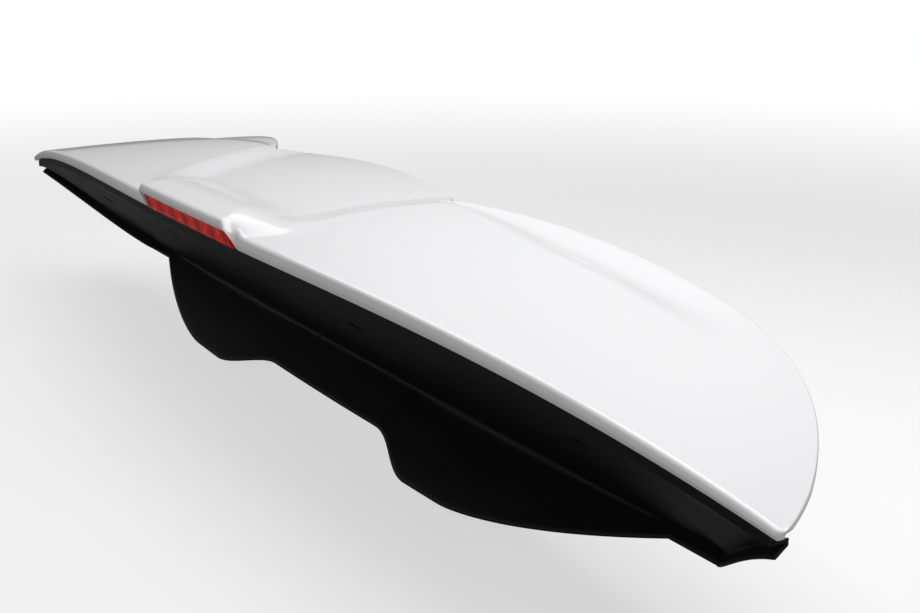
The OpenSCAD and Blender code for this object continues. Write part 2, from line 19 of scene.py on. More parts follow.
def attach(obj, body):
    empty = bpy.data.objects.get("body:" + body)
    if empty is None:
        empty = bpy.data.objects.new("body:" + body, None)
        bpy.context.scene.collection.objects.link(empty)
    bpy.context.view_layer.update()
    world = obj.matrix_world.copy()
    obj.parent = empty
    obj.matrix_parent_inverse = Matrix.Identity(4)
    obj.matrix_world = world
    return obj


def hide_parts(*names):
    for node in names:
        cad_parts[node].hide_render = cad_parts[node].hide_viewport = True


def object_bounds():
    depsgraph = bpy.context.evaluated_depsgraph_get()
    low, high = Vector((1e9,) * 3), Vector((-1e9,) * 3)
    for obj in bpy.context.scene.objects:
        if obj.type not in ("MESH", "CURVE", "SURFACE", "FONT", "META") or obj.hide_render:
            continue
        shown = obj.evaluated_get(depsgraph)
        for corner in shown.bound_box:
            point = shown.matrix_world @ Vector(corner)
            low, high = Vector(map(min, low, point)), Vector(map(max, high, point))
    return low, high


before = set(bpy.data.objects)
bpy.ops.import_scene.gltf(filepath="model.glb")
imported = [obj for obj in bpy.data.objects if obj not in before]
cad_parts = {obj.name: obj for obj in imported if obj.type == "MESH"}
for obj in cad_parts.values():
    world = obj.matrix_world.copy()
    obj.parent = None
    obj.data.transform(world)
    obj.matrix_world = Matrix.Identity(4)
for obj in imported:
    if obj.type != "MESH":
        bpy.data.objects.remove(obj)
CAD_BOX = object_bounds()

LOG = logging.getLogger("spoiler")
MM = 0.001
PER_MM = 1000.0
Array = np.ndarray
Shell = tuple[Array, list[tuple[int, ...]]]


# Colours and nodes

def linear(hex_colour: str) -> tuple[float, float, float, float]:
    """Turns an sRGB hex colour such as "#E6E7E9" to linear RGBA.

    Args:
        hex_colour: six hex digits with a leading hash.

    Returns:
        Four floats, with alpha 1.
    """
    parts = [int(hex_colour[i:i + 2], 16) / 255 for i in (1, 3, 5)]
    rgb = [p / 12.92 if p <= 0.04045 else ((p + 0.055) / 1.055) ** 2.4 for p in parts]
    return (rgb[0], rgb[1], rgb[2], 1.0)


def add_node(tree: bpy.types.NodeTree, kind: str, settings: Optional[dict[str, Any]] = None,
             values: Optional[dict[Any, Any]] = None,
             links: Optional[dict[Any, Any]] = None) -> bpy.types.Node:
    """Adds one node with its settings, socket values and incoming links.

    Args:
        tree: the node tree that gets the node.
        kind: the node's class name.
        settings: attributes of the node.
        values: default values by input name or number.
        links: output sockets by input name or number.

    Returns:
        The new node.
    """
    node = tree.nodes.new(kind)
    for key, value in (settings or {}).items():
        setattr(node, key, value)
    for key, value in (values or {}).items():
        node.inputs[key].default_value = value
    for key, socket in (links or {}).items():
        tree.links.new(socket, node.inputs[key])
    return node


class Pattern(Enum):
    """How a surface's small relief is laid out."""

    PEEL = "soft waves of sprayed lacquer"
    GRAIN = "raised cells of moulded grain"
    PORES = "open pores of foam"
    SPANGLE = "flat crystals of a plated coat"
    WEAVE = "crossed threads under varnish"


def blank_material(name: str) -> tuple[bpy.types.Material, bpy.types.NodeTree, bpy.types.Node]:
    """Makes a material with nodes.

    Args:
        name: the material's name.

    Returns:
        The material, its tree and its surface shader.
    """
    material = bpy.data.materials.new(name)
    material.use_nodes = True
    return material, material.node_tree, material.node_tree.nodes["Principled BSDF"]


def set_inputs(shader: bpy.types.Node, values: dict[str, float]) -> None:
    """Sets inputs of a shader by their names."""
    for name, value in values.items():
        shader.inputs[name].default_value = value


@dataclass(frozen=True)
class Finish:
    """A finish made of a base colour that wanders to a second one, and a small relief.

    The relief's size is a real length in millimetres on the object.
    """

    name: str
    colour: str
    second: str
    roughness: float
    pattern: Pattern
    relief_mm: float
    relief_height_mm: float
    patch_mm: float = 60.0
    metallic: float = 0.0
    ior: float = 1.5
    coat: float = 0.0
    coat_roughness: float = 0.03
    specular: float = 0.5
    roughness_swing: float = 0.05
    subsurface: float = 0.0
    subsurface_mm: float = 2.0
    bump_strength: float = 0.6
    wave_turn: float = 6.28

    def relief(self, tree: bpy.types.NodeTree, place: bpy.types.NodeSocket) -> bpy.types.NodeSocket:
        """Builds the height pattern of the relief.

        Args:
            tree: the material's node tree.
            place: the Object coordinates.

        Returns:
            A height between 0 and 1.
        """
        scale = PER_MM / self.relief_mm
        if self.pattern is Pattern.PEEL:
            waves = add_node(tree, "ShaderNodeTexNoise", {}, {"Scale": scale, "Detail": 1.0,
                             "Roughness": 0.4}, {"Vector": place})
            return waves.outputs["Fac"]
        if self.pattern is Pattern.WEAVE:
            warp = add_node(tree, "ShaderNodeTexWave", {"bands_direction": "X"},
                            {"Scale": scale / self.wave_turn}, {"Vector": place})
            weft = add_node(tree, "ShaderNodeTexWave", {"bands_direction": "Z"},
                            {"Scale": scale / self.wave_turn}, {"Vector": place})
            both = add_node(tree, "ShaderNodeMath", {"operation": "MAXIMUM"}, {},
                            {0: warp.outputs["Fac"], 1: weft.outputs["Fac"]})
            return both.outputs[0]
        cells = add_node(tree, "ShaderNodeTexVoronoi",
                         {"feature": "F1" if self.pattern is not Pattern.GRAIN else "SMOOTH_F1"},
                         {"Scale": scale, "Randomness": 1.0}, {"Vector": place})
        if self.pattern is Pattern.SPANGLE:
            return cells.outputs["Color"]
        edge = add_node(tree, "ShaderNodeMapRange", {}, {"From Min": 0.05, "From Max": 0.55},
                        {"Value": cells.outputs["Distance"]})
        return edge.outputs["Result"]

    def build(self) -> bpy.types.Material:
        """Makes the material.

        Returns:
            The material, ready for a piece.
        """
        material, tree, shader = blank_material(self.name)
        place = add_node(tree, "ShaderNodeTexCoord").outputs["Object"]
        patches = add_node(tree, "ShaderNodeTexNoise", {}, {"Scale": PER_MM / self.patch_mm,
                           "Detail": 3.0, "Roughness": 0.55}, {"Vector": place})
        tint = add_node(tree, "ShaderNodeMix", {"data_type": "RGBA"}, {6: linear(self.colour),
                        7: linear(self.second)}, {0: patches.outputs["Fac"]})
        tree.links.new(tint.outputs[2], shader.inputs["Base Color"])
        dull = add_node(tree, "ShaderNodeMapRange", {}, {
            "From Min": 0.3, "From Max": 0.7,
            "To Min": max(0.02, self.roughness - self.roughness_swing),
            "To Max": self.roughness + self.roughness_swing}, {"Value": patches.outputs["Fac"]})
        tree.links.new(dull.outputs["Result"], shader.inputs["Roughness"])
        bump = add_node(tree, "ShaderNodeBump", {}, {"Strength": self.bump_strength,
                        "Distance": self.relief_height_mm * MM},
                        {"Height": self.relief(tree, place)})
        tree.links.new(bump.outputs["Normal"], shader.inputs["Normal"])
        set_inputs(shader, {"Metallic": self.metallic, "Coat Weight": self.coat,
                            "Coat Roughness": self.coat_roughness,
                            "Subsurface Weight": self.subsurface})
        if not self.metallic:
            set_inputs(shader, {"IOR": self.ior, "Specular IOR Level": self.specular})
        if self.subsurface:
            set_inputs(shader, {"Subsurface Scale": self.subsurface_mm * MM})
        return material


# White basecoat under clear lacquer, sprayed: even colour, mirror-like coat with faint waves.
# The waves are really about 4 mm long; they are drawn at 7 mm so that they show.
PAINT = Finish("white_basecoat_clearcoat_sprayed", "#EAEAEB", "#E4E4E6", 0.42, Pattern.PEEL,
               7.0, 0.012, patch_mm=180, coat=0.8, coat_roughness=0.06, specular=0.3)
# Black ABS moulded in a grained tool: deep black, broken highlight. Grain of 1.1 mm cells.
BLACK_ABS = Finish("black_abs_moulded_grain", "#050506", "#0A0A0B", 0.5, Pattern.GRAIN,
                   1.1, 0.03, patch_mm=90, specular=0.2)
# Polypropylene fins moulded in the same tool grade: slightly greyer and duller.
FIN_PP = Finish("black_polypropylene_moulded", "#08080A", "#0E0E10", 0.56, Pattern.GRAIN,
                1.4, 0.03, patch_mm=70, specular=0.25)
# Glass-filled polyamide: dark grey with a dry, fibrous flow look.
BRACKET_PA = Finish("glass_filled_polyamide_moulded", "#1D1D1F", "#2A2A2D", 0.6, Pattern.PEEL,
                    1.6, 0.06, patch_mm=14, roughness_swing=0.1)
# Zinc-plated steel, passivated: cool grey metal with faint crystals about 2 mm across.
ZINC_STEEL = Finish("zinc_plated_steel", "#B9BCC0", "#A7ABAF", 0.33, Pattern.SPANGLE,
                    2.0, 0.01, patch_mm=9, metallic=1.0)
# EPDM closed-cell foam, cut from sheet: dull, soft black with pores of about 1 mm.
FOAM = Finish("epdm_closed_cell_foam", "#151515", "#202021", 0.92, Pattern.PORES,
              1.0, 0.22, patch_mm=20)
# Natural polyamide clip: milky, slightly see-through.
NYLON = Finish("natural_polyamide_moulded", "#DAD6C6", "#CFCAB6", 0.42, Pattern.PEEL,
               2.4, 0.02, patch_mm=12, subsurface=0.15)
# Black ABS lamp housing, plain tool: smoother than the cover.
HOUSING_ABS = Finish("black_abs_plain", "#131315", "#18181A", 0.38, Pattern.PEEL,
                     3.0, 0.02, patch_mm=40)
# Vacuum-metallised reflector: aluminium mirror with a soft ripple.
MIRROR = Finish("vacuum_metallised_aluminium", "#DDDFE2", "#D3D6DA", 0.12, Pattern.PEEL,
                5.0, 0.02, patch_mm=30, metallic=1.0)
# Glass-epoxy circuit board: green lacquer over a 0.5 mm weave.
BOARD = Finish("glass_epoxy_board", "#1F6A3B", "#185A31", 0.35, Pattern.WEAVE,
               0.5, 0.01, patch_mm=30)
# Light-emitting diodes: pale phosphor under clear epoxy.
DIODE = Finish("epoxy_over_phosphor", "#EADB98", "#E2CF83", 0.2, Pattern.PEEL,
               1.0, 0.01, patch_mm=3, coat=0.6)
# Tinned brass pins.
TINNED = Finish("tinned_brass", "#CDBE93", "#C2B07F", 0.28, Pattern.PEEL,
                1.0, 0.01, patch_mm=4, metallic=1.0)


@dataclass(frozen=True)
class LensFinish:
    """Clear red acrylic (PMMA), moulded: deep red body, with a painted reflection of the reflector cup
    behind each light, and painted orange glints.
    """

    name: str = "red_acrylic_moulded"
    deep: str = "#A80301"
    # Painted reflection: the lighter red where a reflector cup shows behind the lens.
    cup_reflection_red: str = "#E41006"
    # Painted light: a weak emission that stands for light the reflector sends back; the lamp itself is
    # not lit.
    painted_glow: float = 0.12
    # Painted glints: orange colour of small reflector highlights seen through the lens.
    painted_glint: str = "#FF7422"
    cup_pitch_mm: float = 13.64
    prism_mm: float = 4.0
    prism_height_mm: float = 0.1
    roughness: float = 0.22
    ior: float = 1.49
    specular: float = 0.12
    transmission: float = 0.12
    # Sizes of the painted glints' cells, as shares of the Voronoi distance.
    painted_glint_rim: float = 0.42
    painted_glint_core: float = 0.12
    cup_waver: float = 0.6
    prism_strength: float = 0.4

    def build(self) -> bpy.types.Material:
        """Makes the lens material.

        Painted reflection: a wave along X at the lights' pitch lightens the red where each reflector
        cup lies behind the lens. Painted glints: small cells, only where the wave is high, are orange.
        A weak emission of the same colours is painted light too: it stands for the light that the
        reflector sends back through the lens.

        Returns:
            The material.
        """
        material, tree, shader = blank_material(self.name)
        place = add_node(tree, "ShaderNodeTexCoord").outputs["Object"]
        # Painted reflection of the reflector: a wave at the lights' pitch mixes the deep red towards
        # the lighter red.
        cup_reflection_wave = add_node(tree, "ShaderNodeTexWave", {"bands_direction": "X"}, {
            "Scale": PER_MM / self.cup_pitch_mm / 20.0 * math.pi, "Distortion": self.cup_waver,
            "Detail": 1.0}, {"Vector": place})
        body = add_node(tree, "ShaderNodeMix", {"data_type": "RGBA"},
                        {6: linear(self.deep), 7: linear(self.cup_reflection_red)}, {0: cup_reflection_wave.outputs["Fac"]})
        cells = add_node(tree, "ShaderNodeTexVoronoi", {}, {"Scale": PER_MM / self.prism_mm},
                         {"Vector": place})
        # Painted glints: small cells, kept only where the wave is high, turn the colour orange.
        painted_glint_cells = add_node(tree, "ShaderNodeMapRange", {},
                         {"From Min": self.painted_glint_rim, "From Max": self.painted_glint_core},
                         {"Value": cells.outputs["Distance"]})
        where = add_node(tree, "ShaderNodeMath", {"operation": "MULTIPLY"}, {},
                         {0: painted_glint_cells.outputs["Result"], 1: cup_reflection_wave.outputs["Fac"]})
        colour = add_node(tree, "ShaderNodeMix", {"data_type": "RGBA"}, {7: linear(self.painted_glint)},
                          {0: where.outputs[0], 6: body.outputs[2]})
        tree.links.new(colour.outputs[2], shader.inputs["Base Color"])
        bump = add_node(tree, "ShaderNodeBump", {},
                        {"Strength": self.prism_strength, "Distance": self.prism_height_mm * MM},
                        {"Height": cells.outputs["Distance"]})
        tree.links.new(bump.outputs["Normal"], shader.inputs["Normal"])
        # Painted light: the lens's colours, with the painted reflections and glints, are also emitted
        # weakly.
        tree.links.new(colour.outputs[2], shader.inputs["Emission Color"])
        set_inputs(shader, {"Emission Strength": self.painted_glow, "Roughness": self.roughness,
                            "IOR": self.ior, "Specular IOR Level": self.specular,
                            "Transmission Weight": self.transmission})
        return material


# Mesh building

def ramp(a: Any, b: Any, x: Any) -> Array:
    """Smooth step: t is x between a and b, cut to 0..1, and the result is t squared times (3 - 2t)."""
    t = np.clip((np.asarray(x, float) - a) / (b - a), 0.0, 1.0)
    return t * t * (3.0 - 2.0 * t)


def mix(a: Any, b: Any, t: Any) -> Array:
    """Straight mix: a at t = 0 and b at t = 1."""
    return a + (b - a) * np.asarray(t, float)


def grid(points: Array, wrap_u: bool = False, wrap_v: bool = False) -> Shell:
    """Joins a grid of points, shape (u, v, 3), by quads.

    Args:
        points: the grid.
        wrap_u: closes the last row to the first.
        wrap_v: closes the last column to the first.

    Returns:
        Points and quads.
    """
    rows, cols = points.shape[:2]
    index = np.arange(rows * cols).reshape(rows, cols)
    if wrap_u:
        index = np.vstack([index, index[:1]])
    if wrap_v:
        index = np.hstack([index, index[:, :1]])
    quads = np.stack([index[:-1, :-1], index[1:, :-1], index[1:, 1:], index[:-1, 1:]], -1)
    return points.reshape(-1, 3), [tuple(q) for q in quads.reshape(-1, 4).tolist()]


def loft(rings: Array) -> Shell:
    """Joins closed rings to one skin with a flat cap at each end.

    Args:
        rings: points, shape (stations, points of a ring, 3).

    Returns:
        Points and faces.
    """
    verts, faces = grid(rings, wrap_v=True)
    n = rings.shape[1]
    last = (rings.shape[0] - 1) * n
    return verts, faces + [tuple(range(n)), tuple(range(last + n - 1, last - 1, -1))]


def rings_of(x: Array, parts: Sequence[tuple[Array, Array]]) -> Array:
    """Sets the parts of a section side by side and gives every station its place across the wing.

    Args:
        x: places across the wing, one to a row.
        parts: pairs of places ahead and heights, each one row to a station.

    Returns:
        Closed rings, shape (stations, points, 3).
    """
    y, z = (np.hstack([part[k] + 0 * x for part in parts]) for k in (0, 1))
    return np.stack([np.broadcast_to(x, y.shape), y, z], -1)


def outward(shell: Shell) -> Shell:
    """Turns a closed shell so that its faces point outwards, by the sign of its volume.

    The volume is a sixth of the sum over triangles of a . (b x c).

    Args:
        shell: points and faces.

    Returns:
        The shell, with its faces turned if its volume was negative.
    """
    verts, faces = shell
    quads = np.array([f for f in faces if len(f) == 4])
    total = 0.0
    for k in (1, 2):
        a, b, c = (verts[quads[:, i]] for i in (0, k, k + 1))
        total += np.einsum("ij,ij->", a, np.cross(b, c))
    if total < 0:
        faces = [tuple(reversed(f)) for f in faces]
    return verts, faces


@dataclass
class Seat:
    """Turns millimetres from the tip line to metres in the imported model's frame."""

    ahead: float
    up: float

    def place(self, points: Array) -> Array:
        """Moves points so that the middle of the studs is the origin, and scales them to metres.

        Args:
            points: places in millimetres.

        Returns:
            Places in metres.
        """
        return (np.asarray(points, float) - np.array([0.0, self.ahead, self.up])) * MM


def make_piece(name: str, shells: Sequence[Shell], seat: Seat, material: bpy.types.Material,
               nodes: Sequence[str], sharp_deg: float = 32.0,
               merge: bool = False) -> bpy.types.Object:
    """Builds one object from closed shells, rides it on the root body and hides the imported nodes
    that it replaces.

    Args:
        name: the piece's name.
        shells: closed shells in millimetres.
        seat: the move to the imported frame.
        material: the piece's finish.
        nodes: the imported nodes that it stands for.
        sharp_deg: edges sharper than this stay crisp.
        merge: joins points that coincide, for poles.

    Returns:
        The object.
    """
    verts: list[Array] = []
    faces: list[tuple[int, ...]] = []
    count = 0
    for shell in shells:
        points, quads = outward(shell)
        verts.append(seat.place(points))
        faces.extend(tuple(i + count for i in f) for f in quads)
        count += len(points)
    mesh = bpy.data.meshes.new(name)
    mesh.from_pydata(np.vstack(verts).tolist(), [], faces)
    mesh.update()
    if merge:
        work = bmesh.new()
        work.from_mesh(mesh)
        bmesh.ops.remove_doubles(work, verts=work.verts, dist=1e-6)
        work.to_mesh(mesh)
        work.free()
    mesh.polygons.foreach_set("use_smooth", np.ones(len(mesh.polygons), bool))
    mesh.set_sharp_from_angle(angle=math.radians(sharp_deg))
    mesh.materials.append(material)
    piece = bpy.data.objects.new(name, mesh)
    bpy.context.scene.collection.objects.link(piece)
    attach(piece, "root")
    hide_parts(*nodes)
    LOG.info("%s: %d points, %d faces", name, len(mesh.vertices), len(mesh.polygons))
    return piece


def circle(n: int) -> tuple[Array, Array]:
    """Cosine and sine of n angles round a full turn."""
    a = np.arange(n) * 2 * math.pi / n
    return np.cos(a), np.sin(a)


def turned(x: float, across: float, section: Sequence[tuple[float, Any]], n: int,
           upright: bool = True) -> Array:
    """Circles about an axis along Z or Y, one for each point of a section.

    Args:
        x: the axis's distance from the middle.
        across: its place ahead of the tip line if it is upright, its height if it lies along Y.
        section: radii, each with a place along the axis or one for every point of its circle.
        n: points round the axis.
        upright: the axis lies along Z.

    Returns:
        Points, shape (section, n, 3).
    """
    c, s = circle(n)
    rows = []
    for r, along in section:
        pair = [across + r * s, np.broadcast_to(along, (n,))]
        rows.append(np.stack([x + r * c] + (pair if upright else pair[::-1]), -1))
    return np.array(rows)


def bored_post(x: float, y: float, low: float, high: float, r_out: float, r_in: float,
               depth: float, n: int = 40) -> Shell:
    """A round post along Z with a blind hole from below: a profile turned about the post's axis.

    Args:
        x: the axis's distance from the middle.
        y: the axis's place ahead of the tip line.
        low: height of the open end.
        high: height of the closed end.
        r_out: radius of the post.
        r_in: radius of the hole.
        depth: depth of the hole.
        n: points round the post.

    Returns:
        Points and faces.
    """
    bevel = 0.3
    profile = [(0.0, low + depth), (r_in, low + depth), (r_in, low + bevel), (r_in + bevel, low),
               (r_out - bevel, low), (r_out, low + bevel), (r_out, high), (0.0, high)]
    return grid(turned(x, y, profile, n), wrap_v=True)


def holed_plate(x: float, y0: float, y1: float, z: float, wide: float, down: float, up: float,
                r: float, n: int = 48) -> Shell:
    """A flat tab across Y with a round hole: circle points joined to the rectangle's edge points.

    Args:
        x: the hole's distance from the middle.
        y0: place of the rear face.
        y1: place of the front face.
        z: height of the hole's centre.
        wide: half the tab's width.
        down: how far the tab reaches below the hole's centre.
        up: how far it reaches above.
        r: radius of the hole.
        n: points round the hole.

    Returns:
        Points and faces.
    """
    c, s = circle(n)
    tiny = 1e-6
    reach = np.minimum(wide / np.maximum(np.abs(c), tiny),
                       np.where(s > 0, up, down) / np.maximum(np.abs(s), tiny))
    inner = (x + r * c, z + r * s)
    outer = (x + reach * c, z + reach * s)
    rows = [np.stack([p[0], np.full(n, y), p[1]], -1)
            for p, y in ((inner, y0), (outer, y0), (outer, y1), (inner, y1))]
    return grid(np.array(rows), wrap_u=True, wrap_v=True)


# The wing's form

@dataclass(frozen=True)
class WingForm:
    """Sizes and surface functions of the wing, in millimetres from the tip line."""

    span: float = 1200.0
    bow: float = 43.0
    lip_rise: float = 43.0
    blade_reach: float = 162.0
    blade_peak_x: float = 360.0
    tip_overrun: float = 3.0
    front_rise: float = 61.0
    blade_crown: float = 10.0
    channel_depth: float = 4.5
    channel_width: float = 62.0
    tongue_reach: float = 143.0
    tongue_corner: float = 36.0
    notch_x: float = 146.0
    notch_y: float = 105.0
    trough_depth: float = 7.0
    roof_crown: float = 7.0
    visor_lift: float = 12.0
    visor_out: float = 7.0
    visor_face: float = 9.5
    visor_blend: float = 64.0
    visor_start: float = 6.0
    visor_spread: float = 62.0
    spread_share: float = 0.55
    spread_power: float = 0.8
    visor_end: float = 5.0
    visor_step: float = 6.0
    visor_lean: float = 12.0
    lens_width: float = 176.0
    lens_height: float = 13.5
    lamp_side: float = 3.0
    skin_wall: float = 2.6
    lip_height: float = 11.5
    tip_height: float = 7.0
    hem_height: float = 8.0
    tip_hem: float = 3.4
    lip_return: float = 8.0
    clear: float = 0.3
    tip_fall: float = 3.6
    far_reach: float = 0.717
    far_fall: float = 1.5
    tongue_bow: float = 12.0
    blade_outer_power: float = 2.5
    blade_end_power: float = 0.9
    blade_inner_power: float = 2.2
    crease_open: float = 42.0
    crease_in: float = 30.0
    crease_out: float = 16.0
    trough_full_y: float = 25.0
    channel_in: float = 40.0
    channel_full_x: float = 300.0
    channel_edge: float = 20.0
    channel_fade: tuple[float, float] = (0.6, 0.78)
    crown_end: float = 0.95
    hem_fade: tuple[float, float] = (0.8, 0.94)

    @property
    def half(self) -> float:
        """Half the span."""
        return self.span / 2

    @property
    def lamp_end(self) -> float:
        """Distance from the middle to the end of the lamp's place."""
        return self.lens_width / 2 + self.lamp_side

    def visor(self, x: Array) -> Array:
        """1 over the lamp, 0 outside, with a smooth step."""
        end = self.lamp_end + self.visor_end
        return 1 - ramp(end - self.visor_step, end, np.abs(x))

    def visor_top(self, x: Array) -> Array:
        """The visor's share seen from above: its ends lean inwards."""
        end = self.lamp_end + self.visor_end
        return 1 - ramp(end - self.visor_lean, end, np.abs(x))

    def bow_y(self, x: Array) -> Array:
        """Trailing edge in plan: a parabola, furthest back in the middle."""
        return -self.bow * (1 - (x / self.half) ** 2)

    def rear_y(self, x: Array) -> Array:
        """Trailing edge with the visor, which stands further back."""
        return self.bow_y(x) - self.visor_out * self.visor(x)

    def blade_y(self, x: Array) -> Array:
        """Front edge of a blade: a super-ellipse outwards of its peak, a power curve inwards.

        Args:
            x: distances from the middle.

        Returns:
            Places ahead of the tip line.
        """
        a = np.abs(x)
        p = self.blade_peak_x
        u = np.clip((a - p) / (self.half + self.tip_overrun - p), 0, 1)
        outer = self.blade_reach * (1 - u ** self.blade_outer_power) ** self.blade_end_power
        v = np.clip((p - a) / (p - self.notch_x), 0, None)
        drop = (self.blade_reach - self.notch_y) * v ** self.blade_inner_power
        inner = self.blade_reach - drop
        return np.where(a > p, outer, inner)

    def tongue_y(self, x: Array) -> Array:
        """Front edge of the tongue: nearly straight, then a cubic round its corner to the notch.

        Args:
            x: distances from the middle.

        Returns:
            Places ahead of the tip line.
        """
        a = np.abs(x)
        c = self.notch_x - self.tongue_corner
        s = np.clip((a - c) / self.tongue_corner, 0, 1)
        straight = self.tongue_reach - self.tongue_bow * (np.minimum(a, c) / c) ** 2
        return mix(straight, self.notch_y, s ** 3)

    def front_y(self, x: Array) -> Array:
        """Front edge of the skin: tongue inside the notches, blade outside them."""
        return np.where(np.abs(x) < self.notch_x, self.tongue_y(x), self.blade_y(x))

    def wing_z(self, x: Array) -> Array:
        """Height of the trailing edge: flat in the middle, falling to the tips by a power curve."""
        return self.lip_rise * (1 - (np.abs(x) / self.half) ** self.tip_fall)

    def far_z(self, x: Array) -> Array:
        """Height of a smooth line along the front, which the surface is mixed towards.

        It is a parabola inside the notches and falls by a power curve outside them.

        Args:
            x: distances from the middle.

        Returns:
            Heights.
        """
        a = np.abs(x)
        inner = self.front_rise + self.roof_crown * (1 - (np.minimum(a, self.notch_x)
                                                          / self.notch_x) ** 2)
        t = np.clip((a - self.notch_x) / (self.far_reach * self.half), 0, 1)
        return np.where(a < self.notch_x, inner, self.front_rise * (1 - t ** self.far_fall))

    def far_y(self, x: Array) -> Array:
        """Plan place of that line."""
        return np.where(np.abs(x) < self.blade_peak_x, self.blade_reach, self.blade_y(x))

    def trough(self, x: Array, y: Array) -> Array:
        """Centre trough: sunk between two creases that open from the lamp's ends to the notches.

        The depth is a smooth step across each crease, times one from the rear edge forward.

        Args:
            x: distances from the middle.
            y: places ahead of the tip line.

        Returns:
            Heights to add, zero or less.
        """
        crease = mix(self.notch_x - self.crease_open, self.notch_x,
                     (y + self.bow) / (self.notch_y + self.bow))
        inside = 1 - ramp(crease - self.crease_in, crease + self.crease_out, np.abs(x))
        return -self.trough_depth * inside * ramp(-self.bow, self.trough_full_y, y)

    def channel(self, x: Array, y: Array) -> Array:
        """Soft channel behind a blade's front edge: sine squared over its width.

        Args:
            x: distances from the middle.
            y: places ahead of the tip line.

        Returns:
            Heights to add, zero or less.
        """
        a = np.abs(x)
        grow = ramp(self.notch_x - self.channel_in, self.channel_full_x, a)
        s = (self.blade_y(x) - y) / np.maximum(self.channel_width * grow, 1)
        on = (s > 0) & (s < 1) & (a >= self.notch_x - self.channel_edge)
        wave = np.sin(math.pi * np.clip(s, 0, 1)) ** 2
        fade = 1 - ramp(*(share * self.half for share in self.channel_fade), a)
        return np.where(on, -self.channel_depth * grow * wave * fade, 0.0)

    def mound(self, x: Array, y: Array) -> Array:
        """The visor's rise: full at the rear edge, fading forward while it spreads sideways.

        Args:
            x: distances from the middle.
            y: places ahead of the tip line.

        Returns:
            Heights to add.
        """
        ahead = np.clip((y + self.bow) / (self.spread_share * self.visor_blend), 0, 1)
        spread = self.visor_spread * ahead ** self.spread_power
        end = self.lamp_end + self.visor_end
        side = 1 - ramp(end - self.visor_lean - 0.5 * spread, end + spread, np.abs(x))
        fade = 1 - ramp(self.visor_start - self.bow, self.visor_blend - self.bow, y)
        return self.visor_lift * fade * side

    def top_z(self, x: Array, y: Array) -> Array:
        """Top surface: a mix of trailing edge and front line, with crown, trough, channel and visor.

        The crown is a parabola from edge to edge, times one across the span.

        Args:
            x: distances from the middle.
            y: places ahead of the tip line.

        Returns:
            Heights.
        """
        x = np.asarray(x, float)
        y = np.asarray(y, float)
        r = self.bow_y(x)
        v = np.clip((y - r) / np.maximum(self.far_y(x) - r, 1), 0, 1.1)
        crown = (self.blade_crown * (1 - (np.abs(x) / (self.crown_end * self.half)) ** 2)
                 * 4 * v * np.maximum(0, 1 - v))
        return (mix(self.wing_z(x), self.far_z(x), v) + self.mound(x, y) + crown
                + self.trough(x, y) + self.channel(x, y))

    def edge_z(self, x: Array) -> Array:
        """Height of the rear face's upper edge."""
        return self.wing_z(x) + self.visor_lift * self.visor_top(x)

    def blade_floor(self, x: Array) -> Array:
        """Lower end of the rear face outside the lamp: the face is lower towards the tips."""
        return self.wing_z(x) - mix(self.lip_height, self.tip_height, (np.abs(x) / self.half) ** 3)

    def lip_floor(self, x: Array) -> Array:
        """Lower end of the rear face: it steps up over the lamp."""
        return mix(self.blade_floor(x), self.wing_z(x) + self.visor_lift - self.visor_face,
                   self.visor(x))

    def hem(self, x: Array) -> Array:
        """Height of the turned down front edge, small at the tips."""
        fade = ramp(*(share * self.half for share in self.hem_fade), np.abs(x))
        return mix(self.hem_height, self.tip_hem, fade)

    def cover_top(self, x: Array) -> Array:
        """Upper edge of the black cover, just under the rear face."""
        return self.blade_floor(x) - self.clear


FORM = WingForm()


